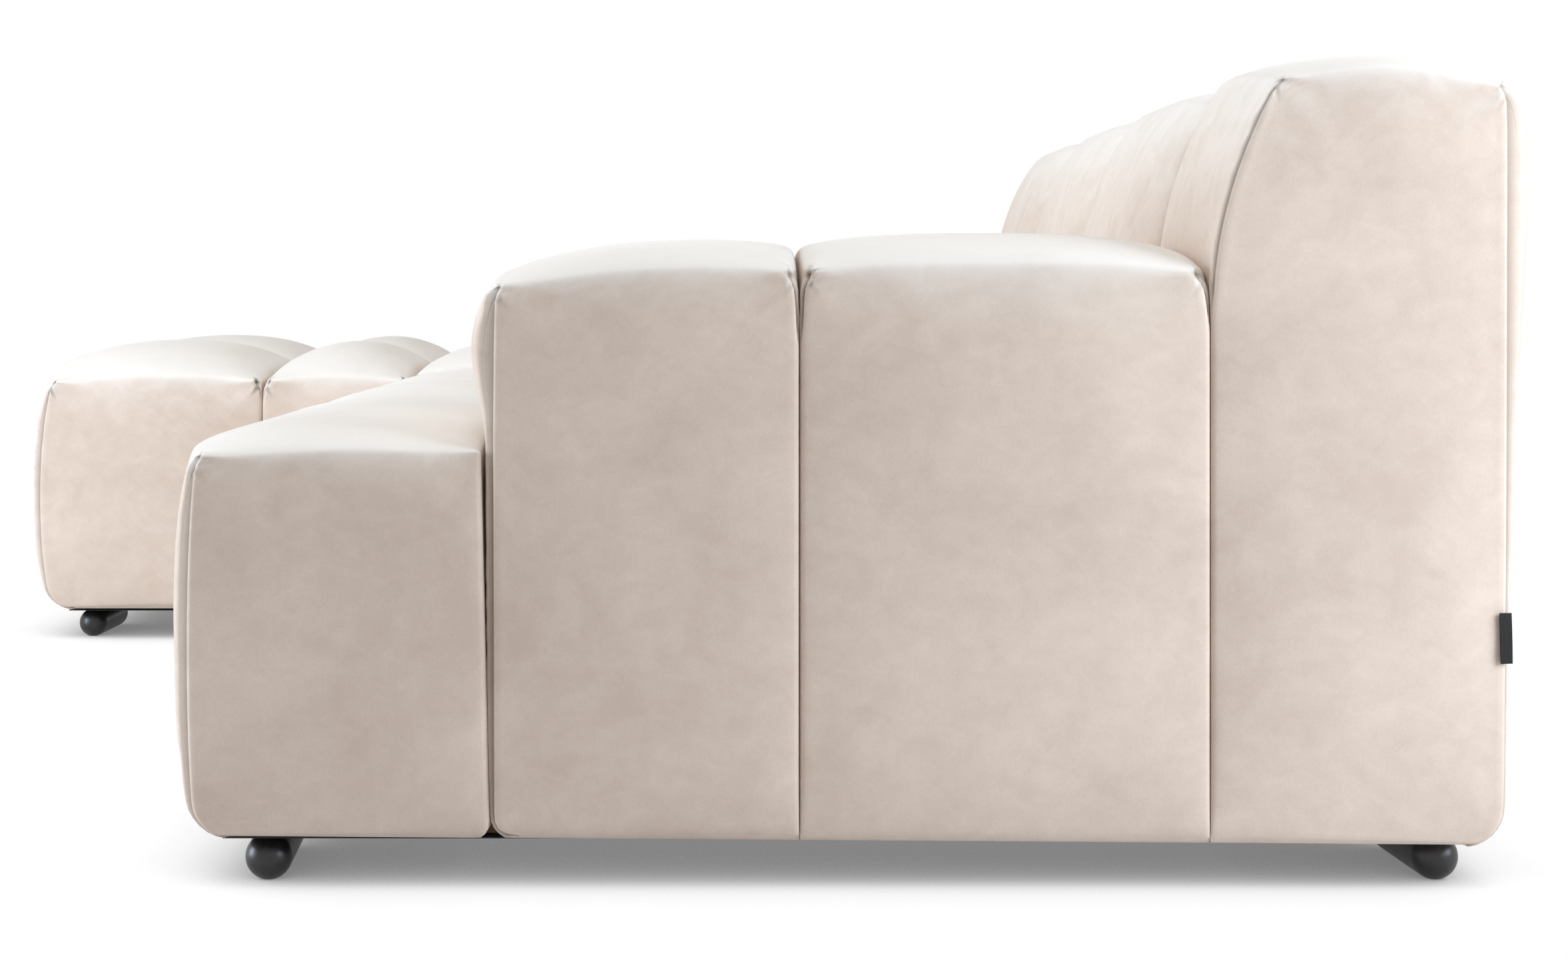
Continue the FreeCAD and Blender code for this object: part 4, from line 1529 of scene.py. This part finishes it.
class Hardware:
    """Finishes for the construction's own pieces: legs, timber, straps, steel and cloth."""

    def __init__(self) -> None:
        """Makes one material for each of the record's slots apart from the velvet."""
        finishes = {
            "leg": Coating(
                "satin_black", ((0.010, 0.010, 0.011), (0.030, 0.029, 0.028)), (0.30, 0.14),
                blotches=60.0, distortion=0.0, blotch_range=(0.50, 0.80), peel=420.0,
                peel_strength=0.05, peel_depth=0.0006),
            "timber": Timber(),
            "strap": Woven("elastic_webbing", (0.045, 0.04, 0.036), (0.11, 0.10, 0.09), 260.0),
            "dust_cloth": Woven("underside_cloth", (0.02,) * 3, (0.05,) * 3, 420.0),
            "tab": Woven("black_tape", (0.006,) * 3, (0.02,) * 3, 700.0),
            "steel": Coating(
                "zinc_plate", ((0.42, 0.42, 0.42), (0.60, 0.60, 0.59)), (0.28, 0.18), metallic=1.0),
            "plate": Coating(
                "powder_coat", ((0.02, 0.02, 0.02), (0.035, 0.035, 0.036)), (0.42, 0.18)),
        }
        self.finishes = {slot: finish.make() for slot, finish in finishes.items()}

    def dress(self) -> int:
        """Gives every carried-over node its finish.

        Returns:
            The number of dressed nodes.
        """
        slots = {part["node"]: part["material_slot"] for part in frame["record"]["subparts"]}
        dressed = 0
        for name, node in frame["nodes"].items():
            finish = self.finishes.get(slots[name])
            if finish is None:
                continue
            node.data.materials.clear()
            node.data.materials.append(finish)
            dressed += 1
        return dressed


# Studio


@dataclass(frozen=True)
class Lamp:
    """A square soft box that hangs at a place and points at a target."""

    name: str
    place: Place
    target: Place
    size: float
    power: float
    tint: Colour

    def build(self) -> None:
        """Hangs the lamp."""
        data = bpy.data.lights.new(self.name, "AREA")
        data.shape = "SQUARE"
        data.size = self.size
        data.energy = self.power
        data.color = self.tint
        lamp = bpy.data.objects.new(self.name, data)
        bpy.context.scene.collection.objects.link(lamp)
        lamp.location = self.place
        lamp.visible_camera = False
        lamp.rotation_mode = "QUATERNION"
        aim = Vector(self.target) - Vector(self.place)
        lamp.rotation_quaternion = aim.to_track_quat("-Z", "Y")


@dataclass(frozen=True)
class Studio:
    """White floor with a painted soft shadow, and broad soft lamps."""

    floor_size: float = 60.0
    floor_tone: Colour = (0.86, 0.86, 0.86)
    shadow_reach: float = 0.16
    shadow_range: Pair = (0.04, 0.61)
    shadow: Colour = (0.165, 0.165, 0.165)
    white: Colour = (1.0, 1.0, 1.0)
    sky: float = 0.26
    sky_tint: Colour = (1.0, 0.93, 0.845)
    lamps: tuple[Lamp, ...] = (
        Lamp("overhead", (0.2, -0.6, 3.4), (0.0, 0.0, 0.3), 4.4, 82.0, (1.0, 0.972, 0.935)),
        Lamp("front", (1.25, -2.9, 0.75), (0.1, 0.0, 0.45), 1.5, 66.0, (0.885, 1.0, 1.11)),
        Lamp("rear_end", (2.15, 2.0, 0.90), (1.38, 0.75, 0.45), 1.1, 33.0, (0.91, 1.0, 1.09)),
    )

    def build(self) -> None:
        """Builds floor, world and lamps."""
        self._floor()
        self._world()
        for lamp in self.lamps:
            lamp.build()

    def _floor(self) -> None:
        """A large plane that shows white, with a painted contact shadow of the sofa."""
        deselect()
        bpy.ops.mesh.primitive_plane_add(size=self.floor_size)
        floor = bpy.context.object
        floor.name = "studio_floor"
        shader = Shader("studio_floor")
        settings = {"samples": 8, "only_local": False}
        # Painted shadow: what the camera sees of the floor darkens with ambient occlusion around
        # the sofa.
        shade = shader.node("ShaderNodeAmbientOcclusion", settings, {"Distance": self.shadow_reach})
        stops = list(zip(self.shadow_range, (self.shadow, self.white)))
        tone = shader.ramp(shader.out(shade, "AO"), stops)
        shown = shader.node("ShaderNodeEmission", inputs={"Color": tone})
        lit = shader.node("ShaderNodeBsdfDiffuse", inputs={"Color": (*self.floor_tone, 1.0)})
        inputs = {0: self._seen(shader), 1: shader.out(lit), 2: shader.out(shown)}
        mixed = shader.node("ShaderNodeMixShader", inputs=inputs)
        shader.node("ShaderNodeOutputMaterial", inputs={"Surface": shader.out(mixed)})
        floor.data.materials.append(shader.material)

    @staticmethod
    def _seen(shader: Shader) -> Wire:
        """Tells what is seen from what only lights the sofa.

        Args:
            shader: the tree of the floor or the world.

        Returns:
            1 for rays from the camera, mirrored rays and rays through glass.
        """
        path = shader.node("ShaderNodeLightPath")
        camera, glossy, through = (
            shader.out(path, f"Is {kind} Ray") for kind in ("Camera", "Glossy", "Transmission")
        )
        return shader.out(shader.node("ShaderNodeClamp", inputs={0: camera + glossy + through}))

    def _world(self) -> None:
        """A white backdrop to the camera and an even sky to the sofa."""
        shader = WorldShader("studio")
        sky = tuple(self.sky * share for share in self.sky_tint)
        shown = shader.mix(self._seen(shader), sky, self.white)
        background = shader.node("ShaderNodeBackground", inputs={"Color": shown})
        shader.node("ShaderNodeOutputWorld", inputs={"Surface": shader.out(background)})

@dataclass(frozen=True)
class PhotoCamera:
    """A level camera beyond the arm end that looks along the sofa."""

    width: float = 2354.0
    height: float = 1440.0
    focus: float = 4137.0
    eye_x: float = 1075.0
    eye_y: float = 433.0
    distance: float = 2.5
    place_y: float = 0.164
    place_z: float = 0.546
    sensor: float = 36.0
    clip: Pair = (0.05, 200.0)

    def build(self) -> None:
        """Makes the camera the scene's camera."""
        data = bpy.data.cameras.new("photo_camera")
        data.sensor_width = self.sensor
        data.lens = self.focus / self.width * self.sensor
        data.shift_x = (self.width / 2 - self.eye_x) / self.width
        data.shift_y = (self.eye_y - self.height / 2) / self.width
        data.clip_start, data.clip_end = self.clip
        camera = bpy.data.objects.new("photo_camera", data)
        bpy.context.scene.collection.objects.link(camera)
        camera.location = (CAD_BOX[1].x + self.distance, self.place_y, self.place_z)
        camera.rotation_euler = (math.pi / 2, 0.0, math.pi / 2)
        bpy.context.scene.camera = camera


def main() -> None:
    """Builds the scene in order."""
    logging.basicConfig(level=logging.INFO, format="%(name)s: %(message)s")
    bpy.context.scene.view_settings.view_transform = "Standard"
    deselect()
    for piece in Upholstery(Velvet().make()).build():
        LOG.info("padded %s: %d faces", piece.name, len(piece.data.polygons))
    hardware = Hardware()
    LOG.info("dressed %d nodes of the construction", hardware.dress())
    LOG.info("sewed %s", SideTab().build(hardware.finishes["tab"]).name)
    Studio().build()
    PhotoCamera().build()


if __name__ == "__main__":
    main()
